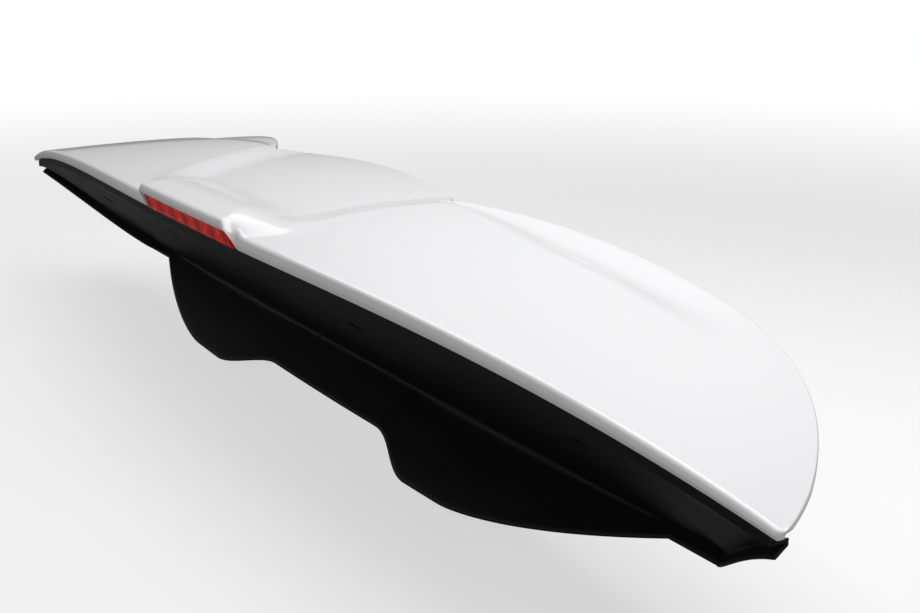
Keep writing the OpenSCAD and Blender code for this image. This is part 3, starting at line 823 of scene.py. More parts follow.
@dataclass(frozen=True)
class Fixings:
    """Places of brackets, studs, screws and clips, in millimetres from the tip line."""

    form: WingForm = FORM
    stud_pitch_x: float = 520.0
    stud_pitch_z: float = 70.0
    stud_r: float = 3.0
    stud_length: float = 22.0
    bracket_width: float = 66.0
    bracket_wall: float = 3.5
    face_y: float = 100.0
    screw_hole_r: float = 1.95
    boss_r: float = 5.0
    cover_screw_x: tuple[float, float] = (180.0, 420.0)
    cover_screw_in: float = 52.0
    lamp_screw: tuple[float, float] = (66.0, 2.0)
    clip_places: tuple[tuple[float, float], ...] = ((88.0, 24.0), (430.0, 24.0))
    clip_hang: float = 16.0
    clip_hole_r: float = 3.25
    tab_wall: float = 2.6
    screw_side: float = 10.0
    flange_in: float = 22.0
    flange_drop: float = 14.0
    stud_below_flange: float = 16.0
    screw_below_stud: float = 14.0
    cover_joint_drop: float = 26.0
    lamp_ear_drop: float = 3.0

    @property
    def bracket_x(self) -> float:
        """Distance from the middle to a bracket's centre."""
        return self.stud_pitch_x / 2

    @property
    def screw_dx(self) -> float:
        """Distance from a bracket's centre to its screws."""
        return self.bracket_width / 2 - self.screw_side

    @property
    def flange_y(self) -> float:
        """Place of the flange screws."""
        return self.face_y - self.flange_in

    @property
    def flange_z(self) -> float:
        """Height of the bracket's flange."""
        skin_z = float(self.form.top_z(self.bracket_x + self.screw_dx, self.flange_y))
        return skin_z - self.flange_drop

    @property
    def stud_mid_z(self) -> float:
        """Height of the middle of the studs."""
        top_stud_z = self.flange_z - self.bracket_wall - self.stud_below_flange
        return top_stud_z - self.stud_pitch_z / 2

    @property
    def low_screw_z(self) -> float:
        """Height of the screws between bracket and cover."""
        return self.stud_mid_z - self.stud_pitch_z / 2 - self.screw_below_stud

    def stud_places(self) -> list[tuple[float, float]]:
        """Places across and heights of the four studs."""
        return [(side * self.bracket_x, self.stud_mid_z + step * self.stud_pitch_z / 2)
                for side in (-1, 1) for step in (-1, 1)]

    def cover_screw_y(self, x: float) -> float:
        """Place of a cover screw ahead of the tip line."""
        return float(self.form.rear_y(np.array(x))) + self.cover_screw_in

    def cover_joint_z(self, x: float) -> float:
        """Height where the skin's boss meets the cover's well."""
        return float(self.form.top_z(x, self.cover_screw_y(x))) - self.cover_joint_drop

    def clip_y(self, place: tuple[float, float]) -> float:
        """Plan place of a clip."""
        return float(self.form.front_y(np.array(place[0]))) - place[1]

    def clip_z(self, place: tuple[float, float]) -> float:
        """Height of a clip."""
        return (float(self.form.top_z(place[0], self.clip_y(place))) - self.form.skin_wall
                - self.clip_hang)

    @property
    def lamp_ear_z(self) -> float:
        """Height where the lamp's ears meet the skin's bosses."""
        lamp_top = float(self.form.lip_floor(np.array(0.0))) - self.form.clear
        return lamp_top - self.lamp_ear_drop


FIX = Fixings()
SEAT = Seat(FIX.face_y, FIX.stud_mid_z)
COVER_SHARP_DEG = 35.0


def both_sides(half: Array) -> Array:
    """Stations on both sides of the middle, sorted and without doubles."""
    return np.unique(np.round(np.concatenate([-half, half]), 4))


# Sub-assemblies

@dataclass
class PaintedSkin:
    """The white skin: two crowned blades, a trough, the visor, the rolled rear face and its bosses."""

    form: WingForm = FORM
    fix: Fixings = FIX
    top_points: int = 84
    inner_points: int = 56
    tip_round: float = 2.6
    tip_points: int = 9
    spans: tuple[tuple[float, float, int], ...] = ((0, 600, 150), (80, 98, 13), (126, 168, 22),
                                                   (572, 597, 10))
    even_share: float = 0.4
    return_share: float = 0.6
    edge_round: float = 1.6
    lip_round: float = 3.2
    lip_drop: float = 3.0
    lip_drop_share: float = 0.4
    face_lean: float = 0.35
    face_bulge: float = 0.5
    tuck_in: float = 1.8
    tuck_up: float = 1.5
    inner_clear: float = 0.4
    least_flange: float = 0.6
    hem_end: float = 0.3
    tip_thin: float = 0.3
    bracket_hole: float = 11.0
    cover_hole: float = 13.0
    lamp_hole: float = 10.0
    tab_half: float = 10.0
    tab_below: float = 9.0

    def stations(self) -> Array:
        """Places across the wing, finer at the lamp's ends, at the notches and at the tips.

        Returns:
            Sorted places on both sides.
        """
        turn = np.sin(np.linspace(0, math.pi / 2, self.tip_points))
        tip = self.form.half - self.tip_round * (1 - turn)
        return both_sides(np.concatenate([np.linspace(*span) for span in self.spans] + [tip]))

    def rings(self) -> Array:
        """Sections of the skin: hem, top, rolled lip, rear face, return flange and underside.

        The top follows top_z and the underside lies one wall below it. The lip is a quarter of a
        super-ellipse, and the rear face bulges by a sine between it and the lower edge. Over the
        last tip_round the section shrinks towards its middle by a quarter circle.

        Returns:
            Closed rings, shape (stations, points, 3).
        """
        form = self.form
        x = self.stations()[:, None]
        f, r = form.front_y(x), form.rear_y(x)
        w = form.skin_wall
        z, b = form.edge_z(x), form.lip_floor(x)
        zf = form.top_z(x, f)
        hem = form.hem(x)
        back = np.minimum(form.lip_return, self.return_share * (f - r))

        # Hem and rounded front edge
        edge = self.edge_round
        turn = np.linspace(0, math.pi / 2, 6)[None, :]
        parts: list[tuple[Array, Array]] = [(f + 0 * turn[:, :1], zf - hem)]
        ye = f - edge * (1 - np.cos(turn))
        parts.append((ye, form.top_z(x, np.minimum(ye, f)) - edge * (1 - np.sin(turn))))

        # Top, with closer points near both edges
        lip = self.lip_round
        t = np.linspace(0, 1, self.top_points)[None, :]
        t = 0.5 * (1 - np.cos(math.pi * t)) * (1 - self.even_share) + t * self.even_share
        yt = mix(f - edge, r + lip, t)[:, 1:]
        parts.append((yt, form.top_z(x, yt)))

        # Rolled lip, rear face and its tuck
        roll = np.linspace(0, math.pi / 2, 8)[None, 1:]
        drop = np.minimum(self.lip_drop, self.lip_drop_share * (z - b))
        rear_top = form.top_z(x, r + lip)
        parts.append((r + lip * (1 - np.sin(roll)), rear_top - (rear_top - (z - drop))
                      * (1 - np.cos(roll))))
        u = np.linspace(0, 1, 8)[None, 1:]
        low = b + self.tuck_up
        parts.append((r + self.face_lean * u - self.face_bulge * np.sin(math.pi * u),
                      mix(z - drop, low, u)))
        tuck = np.linspace(0, math.pi / 2, 6)[None, 1:]
        parts.append((r + self.face_lean + self.tuck_in * (1 - np.cos(tuck)),
                      low - self.tuck_up * np.sin(tuck)))

        # Return flange and underside
        inner = r + w + self.inner_clear
        zi = form.top_z(x, inner) - w
        zr = np.minimum(b + w - self.inner_clear, zi - self.least_flange)
        parts += [(r + back, b), (r + back, zr), (inner, zr)]
        yi = mix(inner, f - w, np.linspace(0, 1, self.inner_points)[None, :])
        parts.append((yi, form.top_z(x, yi) - w))
        parts.append((f - w, np.minimum(zf - hem, form.top_z(x, f - w) - w - self.hem_end)))

        rings = rings_of(x, parts)
        t = np.clip((np.abs(x) - form.half + self.tip_round) / self.tip_round, 0, 1)
        keep = self.tip_thin + (1 - self.tip_thin) * np.sqrt(1 - t ** 2)
        section = rings[..., 1:]
        rings[..., 1:] = mix(section.mean(1, keepdims=True), section, keep[..., None])
        return rings

    def posts(self) -> list[Shell]:
        """The bosses for screws and the tabs for clips, under the skin.

        Returns:
            Closed shells.
        """
        fix, form = self.fix, self.form
        out: list[Shell] = []

        def post(x: float, y: float, low: float, depth: float) -> None:
            """Adds a boss from low up into the skin, with a blind hole of a depth."""
            high = float(form.top_z(x, y)) - form.skin_wall / 2
            out.append(bored_post(x, y, low, high, fix.boss_r, fix.screw_hole_r, depth))

        for side in (-1, 1):
            for s in (-1, 1):
                post(side * (fix.bracket_x + s * fix.screw_dx), fix.flange_y, fix.flange_z,
                     self.bracket_hole)
            for x in fix.cover_screw_x:
                post(side * x, fix.cover_screw_y(x), fix.cover_joint_z(x), self.cover_hole)
            post(side * fix.lamp_screw[0], fix.lamp_screw[1], fix.lamp_ear_z, self.lamp_hole)
            for place in fix.clip_places:
                y, z = fix.clip_y(place), fix.clip_z(place)
                out.append(holed_plate(side * place[0], y - fix.tab_wall, y, z, self.tab_half,
                                       self.tab_below, fix.clip_hang + form.skin_wall / 2,
                                       fix.clip_hole_r))
        return out

    def build(self) -> bpy.types.Object:
        """Makes the skin."""
        return make_piece("painted_skin", [loft(self.rings())] + self.posts(), SEAT,
                          PAINT.build(), ["upper_skin"], merge=True)


@dataclass
class LowerCover:
    """The black cover in three lengths: a wall from the lip down to the window, folded back into
    a two-lobed skirt."""

    form: WingForm = FORM
    fix: Fixings = FIX
    wall: float = 3.0
    glass_slope: float = 33.8
    glass_drop: float = 182.0
    foot: float = 112.0
    skirt_width: float = 40.0
    lobe_reach: float = 23.0
    lobe_in: float = 95.0
    lobe_out: float = 180.0
    corner_x: float = 470.0
    inset: float = 4.0
    upright: float = 7.0
    well_r: float = 6.5
    well_wall: float = 2.0
    seat_wall: float = 3.0
    foot_power: float = 1.15
    joint_x: float = 205.0
    joint_gap: float = 0.2
    end_inset: float = 8.0
    glass_bow: float = 18.0
    foot_bow: float = 12.0
    tip_foot_in: float = 15.0
    tip_foot_drop: float = 11.0
    lobe_run: float = 230.0
    run_power: float = 1.5
    least_skirt: float = 7.0
    wall_bulge: float = 10.0
    bulge_run: float = 60.0
    wall_rise: float = 3.9
    wall_in: tuple[float, float] = (0.67, 0.74)
    fold_start: float = 0.95
    fold_end: float = 0.12
    skirt_round: float = 1.8
    seat_clear: float = 0.35
    boss_hole: float = 14.0
    mouth_low: float = -60.0
    mouth_above: float = 12.0
    round_points: int = 48
    well_zone: tuple[float, float] = (90.0, 185.0)

    @property
    def end(self) -> float:
        """Distance from the middle to the cover's end."""
        return self.form.half - self.end_inset

    def glass_z(self, x: Array, y: Array) -> Array:
        """Height of the window: a plane that rises forward, a little higher at the sides."""
        return (y * math.tan(math.radians(self.glass_slope)) - self.glass_drop
                + self.glass_bow * (x / self.corner_x) ** 2)

    def foot_at(self, x: Array) -> tuple[Array, Array]:
        """The fold at the wall's lower end: on the window inside the corners, rising to the tips.

        Args:
            x: distances from the middle.

        Returns:
            Places ahead of the tip line, and heights.
        """
        a = np.abs(x)
        y1 = self.foot - self.foot_bow * (np.minimum(a, self.corner_x) / self.corner_x) ** 2
        t = np.clip((a - self.corner_x) / (self.end - self.corner_x), 0, 1)
        z1 = self.glass_z(np.minimum(a, self.corner_x), y1)
        return (mix(y1, self.form.bow_y(a) + self.tip_foot_in, t),
                mix(z1, self.form.cover_top(a) - self.tip_foot_drop, t ** self.foot_power))

    def skirt_y(self, x: Array) -> Array:
        """Free edge of the skirt: a shallow middle, two deeper lobes, running out at the corners.

        Args:
            x: distances from the middle.

        Returns:
            Places ahead of the tip line.
        """
        a = np.abs(x)
        base = self.foot - self.skirt_width
        run = np.clip((a - self.lobe_run) / (self.corner_x - self.lobe_run), 0, None)
        edge = (base - self.lobe_reach * ramp(self.lobe_in, self.lobe_out, a)
                + (self.skirt_width + self.lobe_reach) * run ** self.run_power)
        return np.minimum(self.foot_at(x)[0] - self.least_skirt, edge)

    def wall_at(self, x: Array, s: Array) -> tuple[Array, Array]:
        """Outer face of the wall: a straight line with a shallow bulge, a parabola.

        Args:
            x: distances from the middle.
            s: shares of the way down from the upper end.

        Returns:
            Places ahead of the tip line, and heights.
        """
        y0 = self.form.bow_y(x) + self.inset
        z0 = self.form.cover_top(x) - self.upright
        fy, fz = self.foot_at(x)
        free = 1 - ramp(self.corner_x - self.bulge_run, self.end, np.abs(x))
        bulge = self.wall_bulge * s * (1 - s) * free
        return mix(y0, fy, s), mix(z0, fz + self.wall, s) + bulge

    def wall_z(self, x: Array, y: Array, inside: float) -> Array:
        """Height of the wall over a plan point.

        Args:
            x: distances from the middle.
            y: places ahead of the tip line.
            inside: share of the wall's thickness, from its outer face inwards.

        Returns:
            Heights.
        """
        y0 = self.form.bow_y(x) + self.inset
        s = (y - y0) / (self.foot_at(x)[0] - y0)
        return self.wall_at(x, s)[1] + self.wall_rise * inside

    def rings(self, stations: Array) -> Array:
        """Sections of the cover. The fold at the foot is a quadratic curve through three points.

        Args:
            stations: places across the wing, in order.

        Returns:
            Closed rings, shape (stations, points, 3).
        """
        x = stations[:, None]
        form, t = self.form, self.wall
        r, z = form.bow_y(x) + self.inset, form.cover_top(x)
        fy, fz = self.foot_at(x)
        e = self.skirt_y(x)
        slope = math.tan(math.radians(self.glass_slope))
        outer = np.abs(x) > self.corner_x

        def under(y: Array) -> Array:
            """Height of the skirt's lower face: the window, or its slope from the foot."""
            return np.where(outer, fz + (y - fy) * slope, self.glass_z(x, y))

        # Upper edge and outer face
        one = np.ones_like(x)
        parts: list[tuple[Array, Array]] = [((r + 0.5) * one, z), (r * one, z - 0.5)]
        parts.append(self.wall_at(x, np.linspace(0, self.fold_start, 40)[None, :]))

        # Fold at the foot
        ay, az = self.wall_at(x, np.full_like(x, self.fold_start))
        width = fy - e
        end_y = fy - self.fold_end * width
        q = np.linspace(0, 1, 8)[None, 1:]
        shares = ((1 - q) ** 2, 2 * q * (1 - q), q ** 2)
        parts.append((shares[0] * ay + shares[1] * (fy + 0.5) + shares[2] * end_y,
                      shares[0] * az + shares[1] * (fz + t) + shares[2] * (under(end_y) + t)))

        # Skirt: upper face, rounded free edge, lower face
        edge = self.skirt_round
        ys = fy - np.linspace(self.fold_end, 1, 16)[None, 1:] * (width - edge)
        parts.append((ys, under(ys) + t))
        turn = np.linspace(0, math.pi, 9)[None, 1:]
        yr = e + edge - edge * np.sin(turn)
        parts.append((yr, under(yr) + t * (0.5 + 0.5 * np.cos(turn))))
        yb = mix(e + edge, fy + 2, np.linspace(0, 1, 12)[None, 1:])
        parts.append((yb, under(yb)))

        # Inner face, back to the upper edge
        wy, wz = self.wall_at(x, np.linspace(1, 0.02, 34)[None, :])
        parts.append((wy + self.wall_in[0] * t, wz + self.wall_in[1] * t))
        parts += [((r + t) * one, z - self.upright + 1), ((r + t) * one, z)]
        return rings_of(x, parts)

    def well(self, x: float, n: int = 48) -> Shell:
        """A screw well: a tube that stands on the wall and is closed by a seat with a hole.

        Args:
            x: the well's distance from the middle.
            n: points round it.

        Returns:
            A closed shell.
        """
        fix = self.fix
        y, top = fix.cover_screw_y(x), fix.cover_joint_z(x)
        c, s = circle(n)

        def foot(r: float, inside: float) -> Array:
            """Heights where a circle meets the wall."""
            return self.wall_z(x + r * c, y + r * s, inside)

        out, hole = self.well_r + self.well_wall, fix.screw_hole_r + self.seat_clear
        seat = top - self.seat_wall
        section = [(out, foot(out, 0.5)), (out, top), (hole, top), (hole, seat),
                   (self.well_r, seat), (self.well_r, foot(self.well_r, 0.3))]
        return grid(turned(x, y, section, n), wrap_u=True, wrap_v=True)

    def boss(self, x: float, n: int = 40) -> Shell:
        """A post along Y from the wall to the bracket, with a blind screw hole from the front.

        Args:
            x: the post's distance from the middle.
            n: points round it.

        Returns:
            A closed shell.
        """
        fix = self.fix
        front = fix.face_y - fix.bracket_wall
        z = fix.low_screw_z

        def wall_y(height: Array) -> Array:
            """Where the wall's middle has these heights, found by steps along its slope.

            Args:
                height: heights.

            Returns:
                Places ahead of the tip line.
            """
            start, slope, steps = 70.0, -0.87, 12
            y = np.full_like(height, start)
            for _ in range(steps):
                y = y - (self.wall_z(x, y, 0.5) - height) / slope
            return y

        r_in, r_out = fix.screw_hole_r, fix.boss_r
        centre = float(wall_y(np.array([z]))[0])
        end = front - self.boss_hole
        section = [(0.0, end), (r_in, end), (r_in, front), (r_out, front),
                   (r_out, wall_y(z + r_out * circle(n)[1])), (0.0, centre)]
        return grid(turned(x, z, section, n, upright=False), wrap_v=True)

    def length(self, name: str, node_name: str, stations: Array, wells: Sequence[float],
               bosses: Sequence[float], finish: bpy.types.Material) -> bpy.types.Object:
        """Makes one length of the cover, with its wells' mouths cut through the wall.

        Args:
            name: the piece's name.
            node_name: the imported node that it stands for.
            stations: places across the wing, in order.
            wells: places of screw wells.
            bosses: places of bracket posts.
            finish: the cover's material.

        Returns:
            The object.
        """
        piece = make_piece(name, [loft(self.rings(stations))], SEAT, finish,
                           [node_name], sharp_deg=COVER_SHARP_DEG)
        low = self.mouth_low
        cutters = []
        for x in wells:
            y = self.fix.cover_screw_y(x)
            high = float(self.wall_z(x, y, 1.0)) + self.mouth_above
            section = [(0.0, low), (self.well_r, low), (self.well_r, high), (0.0, high)]
            cutters.append(grid(turned(x, y, section, self.round_points), wrap_v=True))
        cut_mouths(piece, cutters)
        join_shells(piece, [self.well(x) for x in wells] + [self.boss(x) for x in bosses])
        return piece

    def build(self) -> list[bpy.types.Object]:
        """Makes the three lengths of the cover.

        Returns:
            The objects, middle, right and left.
        """
        fix, finish = self.fix, BLACK_ABS.build()
        near, far = (self.joint_x - self.joint_gap / 2, self.joint_x + self.joint_gap / 2)
        middle = both_sides(np.concatenate([np.linspace(0, near, 56),
                                            np.linspace(*self.well_zone, 30)]))
        outer = np.unique(np.concatenate([np.linspace(far, self.corner_x, 66),
                                          np.linspace(self.corner_x, self.end, 40)]))
        inner_well, outer_well = fix.cover_screw_x
        posts = [fix.bracket_x - fix.screw_dx, fix.bracket_x + fix.screw_dx]
        return [
            self.length("cover_moulding_middle", "cover_middle", middle,
                        [-inner_well, inner_well], [], finish),
            self.length("cover_moulding_right", "cover_right", outer, [outer_well], posts, finish),
            self.length("cover_moulding_left", "cover_left", -outer[::-1], [-outer_well],
                        [-x for x in posts], finish)]


def cut_mouths(piece: bpy.types.Object, cutters: Sequence[Shell]) -> None:
    """Cuts closed shells out of a piece with a Boolean modifier, and applies it.

    Args:
        piece: the piece that is cut.
        cutters: closed shells in millimetres.
    """
    tool = make_piece("mouth_cutter", cutters, SEAT, piece.data.materials[0], [],
                      merge=True)
    cut = piece.modifiers.new("mouths", "BOOLEAN")
    cut.operation = "DIFFERENCE"
    cut.solver = "EXACT"
    cut.object = tool
    graph = bpy.context.evaluated_depsgraph_get()
    made = bpy.data.meshes.new_from_object(piece.evaluated_get(graph))
    piece.modifiers.clear()
    piece.data = made
    bpy.data.objects.remove(tool)


def join_shells(piece: bpy.types.Object, shells: Sequence[Shell]) -> None:
    """Adds closed shells to a piece's mesh and keeps its shading.

    Args:
        piece: the piece that gets them.
        shells: closed shells in millimetres.
    """
    work = bmesh.new()
    work.from_mesh(piece.data)
    for shell in shells:
        points, faces = outward(shell)
        verts = [work.verts.new(p) for p in SEAT.place(points).tolist()]
        for f in faces:
            work.faces.new([verts[i] for i in f])
    bmesh.ops.remove_doubles(work, verts=work.verts, dist=1e-7)
    work.to_mesh(piece.data)
    work.free()
    piece.data.polygons.foreach_set("use_smooth", np.ones(len(piece.data.polygons), bool))
    piece.data.set_sharp_from_angle(angle=math.radians(COVER_SHARP_DEG))


@dataclass
class SideFins:
    """Two curved fins that close the ends between the skin's side edge and the cover's foot."""

    form: WingForm = FORM
    cover: LowerCover = field(default_factory=LowerCover)
    wall: float = 2.5
    bulge: float = 0.36
    columns: int = 70
    rows: int = 26
    end_share: float = 7 / 8
    foot_clear: float = 0.15
    foot_lift: float = 2.0
    hem_clear: float = 0.5
    top_clear: float = 0.8

    def build(self) -> list[bpy.types.Object]:
        """Makes the right and the left fin: each is a sheet between two edges, with a side bulge.

        Returns:
            The objects, right and left.
        """
        form, cover = self.form, self.cover
        last = mix(cover.corner_x, cover.end, self.end_share)
        x = np.linspace(cover.corner_x, last, self.columns)[:, None]
        fy, fz = cover.foot_at(x)
        y0, z0 = fy + cover.wall_in[0] * cover.wall + self.foot_clear, fz + self.foot_lift
        f = form.front_y(x)
        y1 = f - form.skin_wall - self.wall - self.hem_clear
        z1 = form.top_z(x, f) - form.skin_wall - self.top_clear
        t = np.linspace(0, 1, self.rows)[None, :]
        y = mix(y0, y1, t) + self.bulge * (y1 - y0) * t * (1 - t)
        z = mix(z0, z1, t)
        rear = rings_of(x, [(y, z)])
        front = rear[:, ::-1] + np.array([0, self.wall, 0])
        ring = np.concatenate([rear, front], 1)
        finish = FIN_PP.build()
        right = make_piece("side_fin_panel_right", [loft(ring)], SEAT, finish,
                           ["side_fin_right"])
        left = make_piece("side_fin_panel_left", [loft(ring * np.array([-1, 1, 1]))], SEAT,
                          finish, ["side_fin_left"])
        return [right, left]


@dataclass
class FoamStrips:
    """The foam strip under the skin's front edge and the one under the skirt."""

    form: WingForm = FORM
    cover: LowerCover = field(default_factory=LowerCover)
    drop: float = 5.0
    fit: float = 0.5
    section_power: float = 0.42
    cut_waves: tuple[tuple[float, float], ...] = ((0.12, 3.1), (0.08, 1.7))
    cut_depth: float = 0.2
    notch_zone: tuple[float, float] = (126.0, 168.0)
    rear_clear: float = 0.4
    hem_shares: tuple[float, float] = (7.9 / 8, 7.5 / 8)
    corner_clear: float = 8.0
    skirt_end_share: float = 0.84
    skirt_share: float = 0.45
    skirt_half: float = 4.0
    skirt_drop: float = 4.0

    def strip(self, x: Array, ya: Array, za: Array, yb: Array, zb: Array, drop: float) -> Shell:
        """A strip with rounded lower edges between two lines, hanging down by drop.

        The section is a slow super-ellipse below the two lines, and small waves along X
        make its free side look cut.

        Args:
            x: places across the wing, one to a row.
            ya: places of the first line.
            za: its heights.
            yb: places of the second line.
            zb: its heights.
            drop: the strip's thickness.

        Returns:
            A closed shell.
        """
        t = np.linspace(0, math.pi, 15)[None, :]
        power = self.section_power
        side = np.sign(np.cos(t)) * np.abs(np.cos(t)) ** power
        sink = np.abs(np.sin(t)) ** power
        y = (ya + yb) / 2 + (ya - yb) / 2 * side
        wave = sum(height * np.sin(x / run) for height, run in self.cut_waves)
        z = (za + zb) / 2 + (za - zb) / 2 * side - sink * (drop - self.cut_depth + wave)
        return loft(rings_of(x, [(y, z)]))

    def build(self) -> list[bpy.types.Object]:
        """Makes both strips.

        Returns:
            The objects, front and lower.
        """
        form, cover = self.form, self.cover
        x = both_sides(np.concatenate([np.linspace(0, cover.corner_x - self.corner_clear, 140),
                                       np.linspace(*self.notch_zone, 20)]))[:, None]
        y0 = form.rear_y(x) + form.skin_wall + self.rear_clear
        y1 = form.front_y(x) - form.skin_wall
        ya, yb = (mix(y0, y1, share) for share in self.hem_shares)
        za, zb = (form.top_z(x, y) - form.skin_wall - self.fit for y in (ya, yb))
        finish = FOAM.build()
        front = make_piece("front_foam_strip", [self.strip(x, ya, za, yb, zb, self.drop)], SEAT,
                           finish, ["front_seal"])
        x = both_sides(np.linspace(0, self.skirt_end_share * cover.corner_x, 120))[:, None]
        mid = mix(cover.skirt_y(x), cover.foot_at(x)[0], self.skirt_share)
        ya, yb = mid + self.skirt_half, mid - self.skirt_half
        strip = self.strip(x, ya, cover.glass_z(x, ya), yb, cover.glass_z(x, yb), self.skirt_drop)
        lower = make_piece("skirt_foam_strip", [strip], SEAT, finish, ["skirt_seal"])
        return [front, lower]


@dataclass
class StopLamp:
    """The red lens with its upright flutes; the lamp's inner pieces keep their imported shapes."""

    form: WingForm = FORM
    depth: float = 9.0
    wall: float = 2.0
    flute_mm: float = 4.0
    flute_depth: float = 0.35
    face_in: float = 4.0
    face_lean: float = 3.0
    end_run: float = 1.5
    end_round: float = 1.2
    points_along: int = 441

    def build(self) -> bpy.types.Object:
        """Makes the lens: an open channel along X whose rear face carries cosine flutes.

        Returns:
            The object.
        """
        form = self.form
        z = float(form.lip_floor(np.array(0.0))) - form.clear
        y = float(form.rear_y(np.array(0.0))) + self.face_in
        h, d, w = form.lens_height, self.depth, self.wall
        x = np.linspace(-form.lens_width / 2, form.lens_width / 2, self.points_along)[:, None]
        t = np.linspace(0, 1, 12)[None, :]
        end = np.clip((form.lens_width / 2 - np.abs(x)) / self.end_run, 0, 1)
        round_in = self.end_round * (1 - np.sqrt(1 - (1 - end) ** 2))
        flute = self.flute_depth * (0.5 - 0.5 * np.cos(2 * math.pi * x / self.flute_mm)) * end
        face_y = mix(y, y + self.face_lean, t) + flute * np.sin(math.pi * t) ** 0.5 + round_in
        face_z = mix(z - 1, z - h + 1, t)
        one = np.ones_like(x)
        # The section's corners, with edges broken by 0.3 to 1 mm
        outer = [(y + d, z), (y + 1.0, z), (y + 0.3, z - 0.3)]
        under = [(y + 3.6, z - h + 0.3), (y + 4.5, z - h), (y + d, z - h), (y + d, z - h + w),
                 (y + w + 3.2, z - h + w), (y + w + 0.5, z - w), (y + d, z - w)]
        parts = [(a * one, b * one) for a, b in outer]
        parts.append((face_y, face_z + 0 * face_y))
        parts += [(a * one, b * one) for a, b in under]
        shells = [loft(rings_of(x, parts))]
        # Plates that close the channel's ends, a hair inside its faces
        gap, top, low = 0.05, z - w + 0.2, z - h + w - 0.2
        for side in (-1, 1):
            xs = side * (form.lens_width / 2 - np.array([w, gap]))[:, None]
            plate = np.array([(y + w + 0.2, top), (y + d - gap, top), (y + d - gap, low),
                              (y + w + 2.9, low)])
            shells.append(loft(rings_of(xs, [(plate[:, 0], plate[:, 1])])))
        return make_piece("stop_lamp_lens", shells, SEAT, LensFinish().build(),
                          ["lamp_lens"], sharp_deg=40)


@dataclass
class ThreadedStuds:
    """Four M6 studs with a head behind the bracket and a rolled thread in front of it."""

    fix: Fixings = FIX
    pitch: float = 1.0
    thread_depth: float = 0.55
    collar: float = 1.0
    thread_start: float = 4.5
    head_r: float = 8.0
    head_h: float = 3.0
    head_bevel: float = 0.6
    neck_bevel: float = 0.3
    end_chamfer: float = 0.9
    chamfer_run: float = 1.2
    round_points: int = 28
    thread_points: int = 140

    def stud(self, x: float, z: float) -> Shell:
        """One stud: a radius over angle and length, and a head.

        The thread is a triangle wave of length/pitch minus angle, faded in at the bracket and out
        at the chamfered end.

        Args:
            x: the stud's distance from the middle.
            z: its height.

        Returns:
            A closed shell.
        """
        fix = self.fix
        n = self.round_points
        a = (np.arange(n) * 2 * math.pi / n)[None, :]
        base = fix.face_y - fix.bracket_wall
        start, total = self.thread_start, fix.stud_length
        run = np.concatenate([np.linspace(0, start, 5),
                              np.linspace(start + 0.1, total, self.thread_points)])[:, None]
        phase = run / self.pitch - a / (2 * math.pi)
        tri = 2 * np.abs(phase - np.floor(phase + 0.5))
        r = fix.stud_r - self.thread_depth * tri * ramp(start, start + 1, run)
        r = np.minimum(r, fix.stud_r - self.end_chamfer * ramp(total - self.chamfer_run, total,
                                                               run))
        shank = np.stack([x + r * np.cos(a), np.broadcast_to(fix.face_y + run, r.shape),
                          z + r * np.sin(a)], -1)

        thick = fix.stud_r + self.collar
        low, bevel, neck = base - self.head_h, self.head_bevel, self.neck_bevel
        wide = self.head_r
        head = turned(x, z, [(0.0, low), (wide - bevel, low), (wide, low + bevel),
                             (wide, base - neck), (wide - neck, base), (thick, base),
                             (thick, fix.face_y)], n, upright=False)
        end = turned(x, z, [(0.0, fix.face_y + total)], n, upright=False)
        return grid(np.concatenate([head, shank, end]), wrap_v=True)

    def build(self) -> bpy.types.Object:
        """Makes the four studs.

        Returns:
            The object.
        """
        shells = [self.stud(x, z) for x, z in self.fix.stud_places()]
        return make_piece("threaded_studs", shells, SEAT, ZINC_STEEL.build(),
                          ["mounting_studs"], sharp_deg=50, merge=True)


@dataclass
class StudRings:
    """Four foam rings on the studs, with rounded outer edges."""

    fix: Fixings = FIX
    outer: float = 13.0
    inner: float = 4.5
    thick: float = 4.0
    round_points: int = 64

    def build(self) -> bpy.types.Object:
        """Makes the rings: a rounded section turned about each stud.

        Returns:
            The object.
        """
        fix, outer, inner = self.fix, self.outer, self.inner
        low, high = fix.face_y, fix.face_y + self.thick
        # Little rounding on the glued face, more on the free one
        section = [(inner, low), (outer - 0.2, low), (outer, low + 0.8), (outer, high - 1.1),
                   (outer - 0.4, high - 0.3), (outer - 1.2, high), (inner + 0.5, high),
                   (inner, high - 0.5)]
        shells = [grid(turned(x, z, section, self.round_points, upright=False), wrap_u=True,
                       wrap_v=True) for x, z in fix.stud_places()]
        return make_piece("stud_foam_rings", shells, SEAT, FOAM.build(), ["stud_seals"])


@dataclass
class PackedPieces:
    """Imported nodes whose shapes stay, with their finishes."""

    finishes: dict[str, Finish] = field(default_factory=lambda: {
        "bracket_right": BRACKET_PA, "bracket_left": BRACKET_PA, "bracket_screws": ZINC_STEEL,
        "cover_bracket_screws": ZINC_STEEL, "cover_screws": ZINC_STEEL, "lamp_screws": ZINC_STEEL,
        "edge_clips": NYLON, "lamp_housing": HOUSING_ABS, "lamp_reflector": MIRROR,
        "lamp_board": BOARD, "lamp_leds": DIODE, "lamp_gasket": FOAM, "connector_pins": TINNED})

    def build(self) -> None:
        """Gives each node its material; nodes of one finish share it."""
        made: dict[str, bpy.types.Material] = {}
        for node_name, finish in self.finishes.items():
            if finish.name not in made:
                made[finish.name] = finish.build()
            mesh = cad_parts[node_name].data
            mesh.materials.clear()
            mesh.materials.append(made[finish.name])
            LOG.info("%s: %s", node_name, finish.name)


# Studio

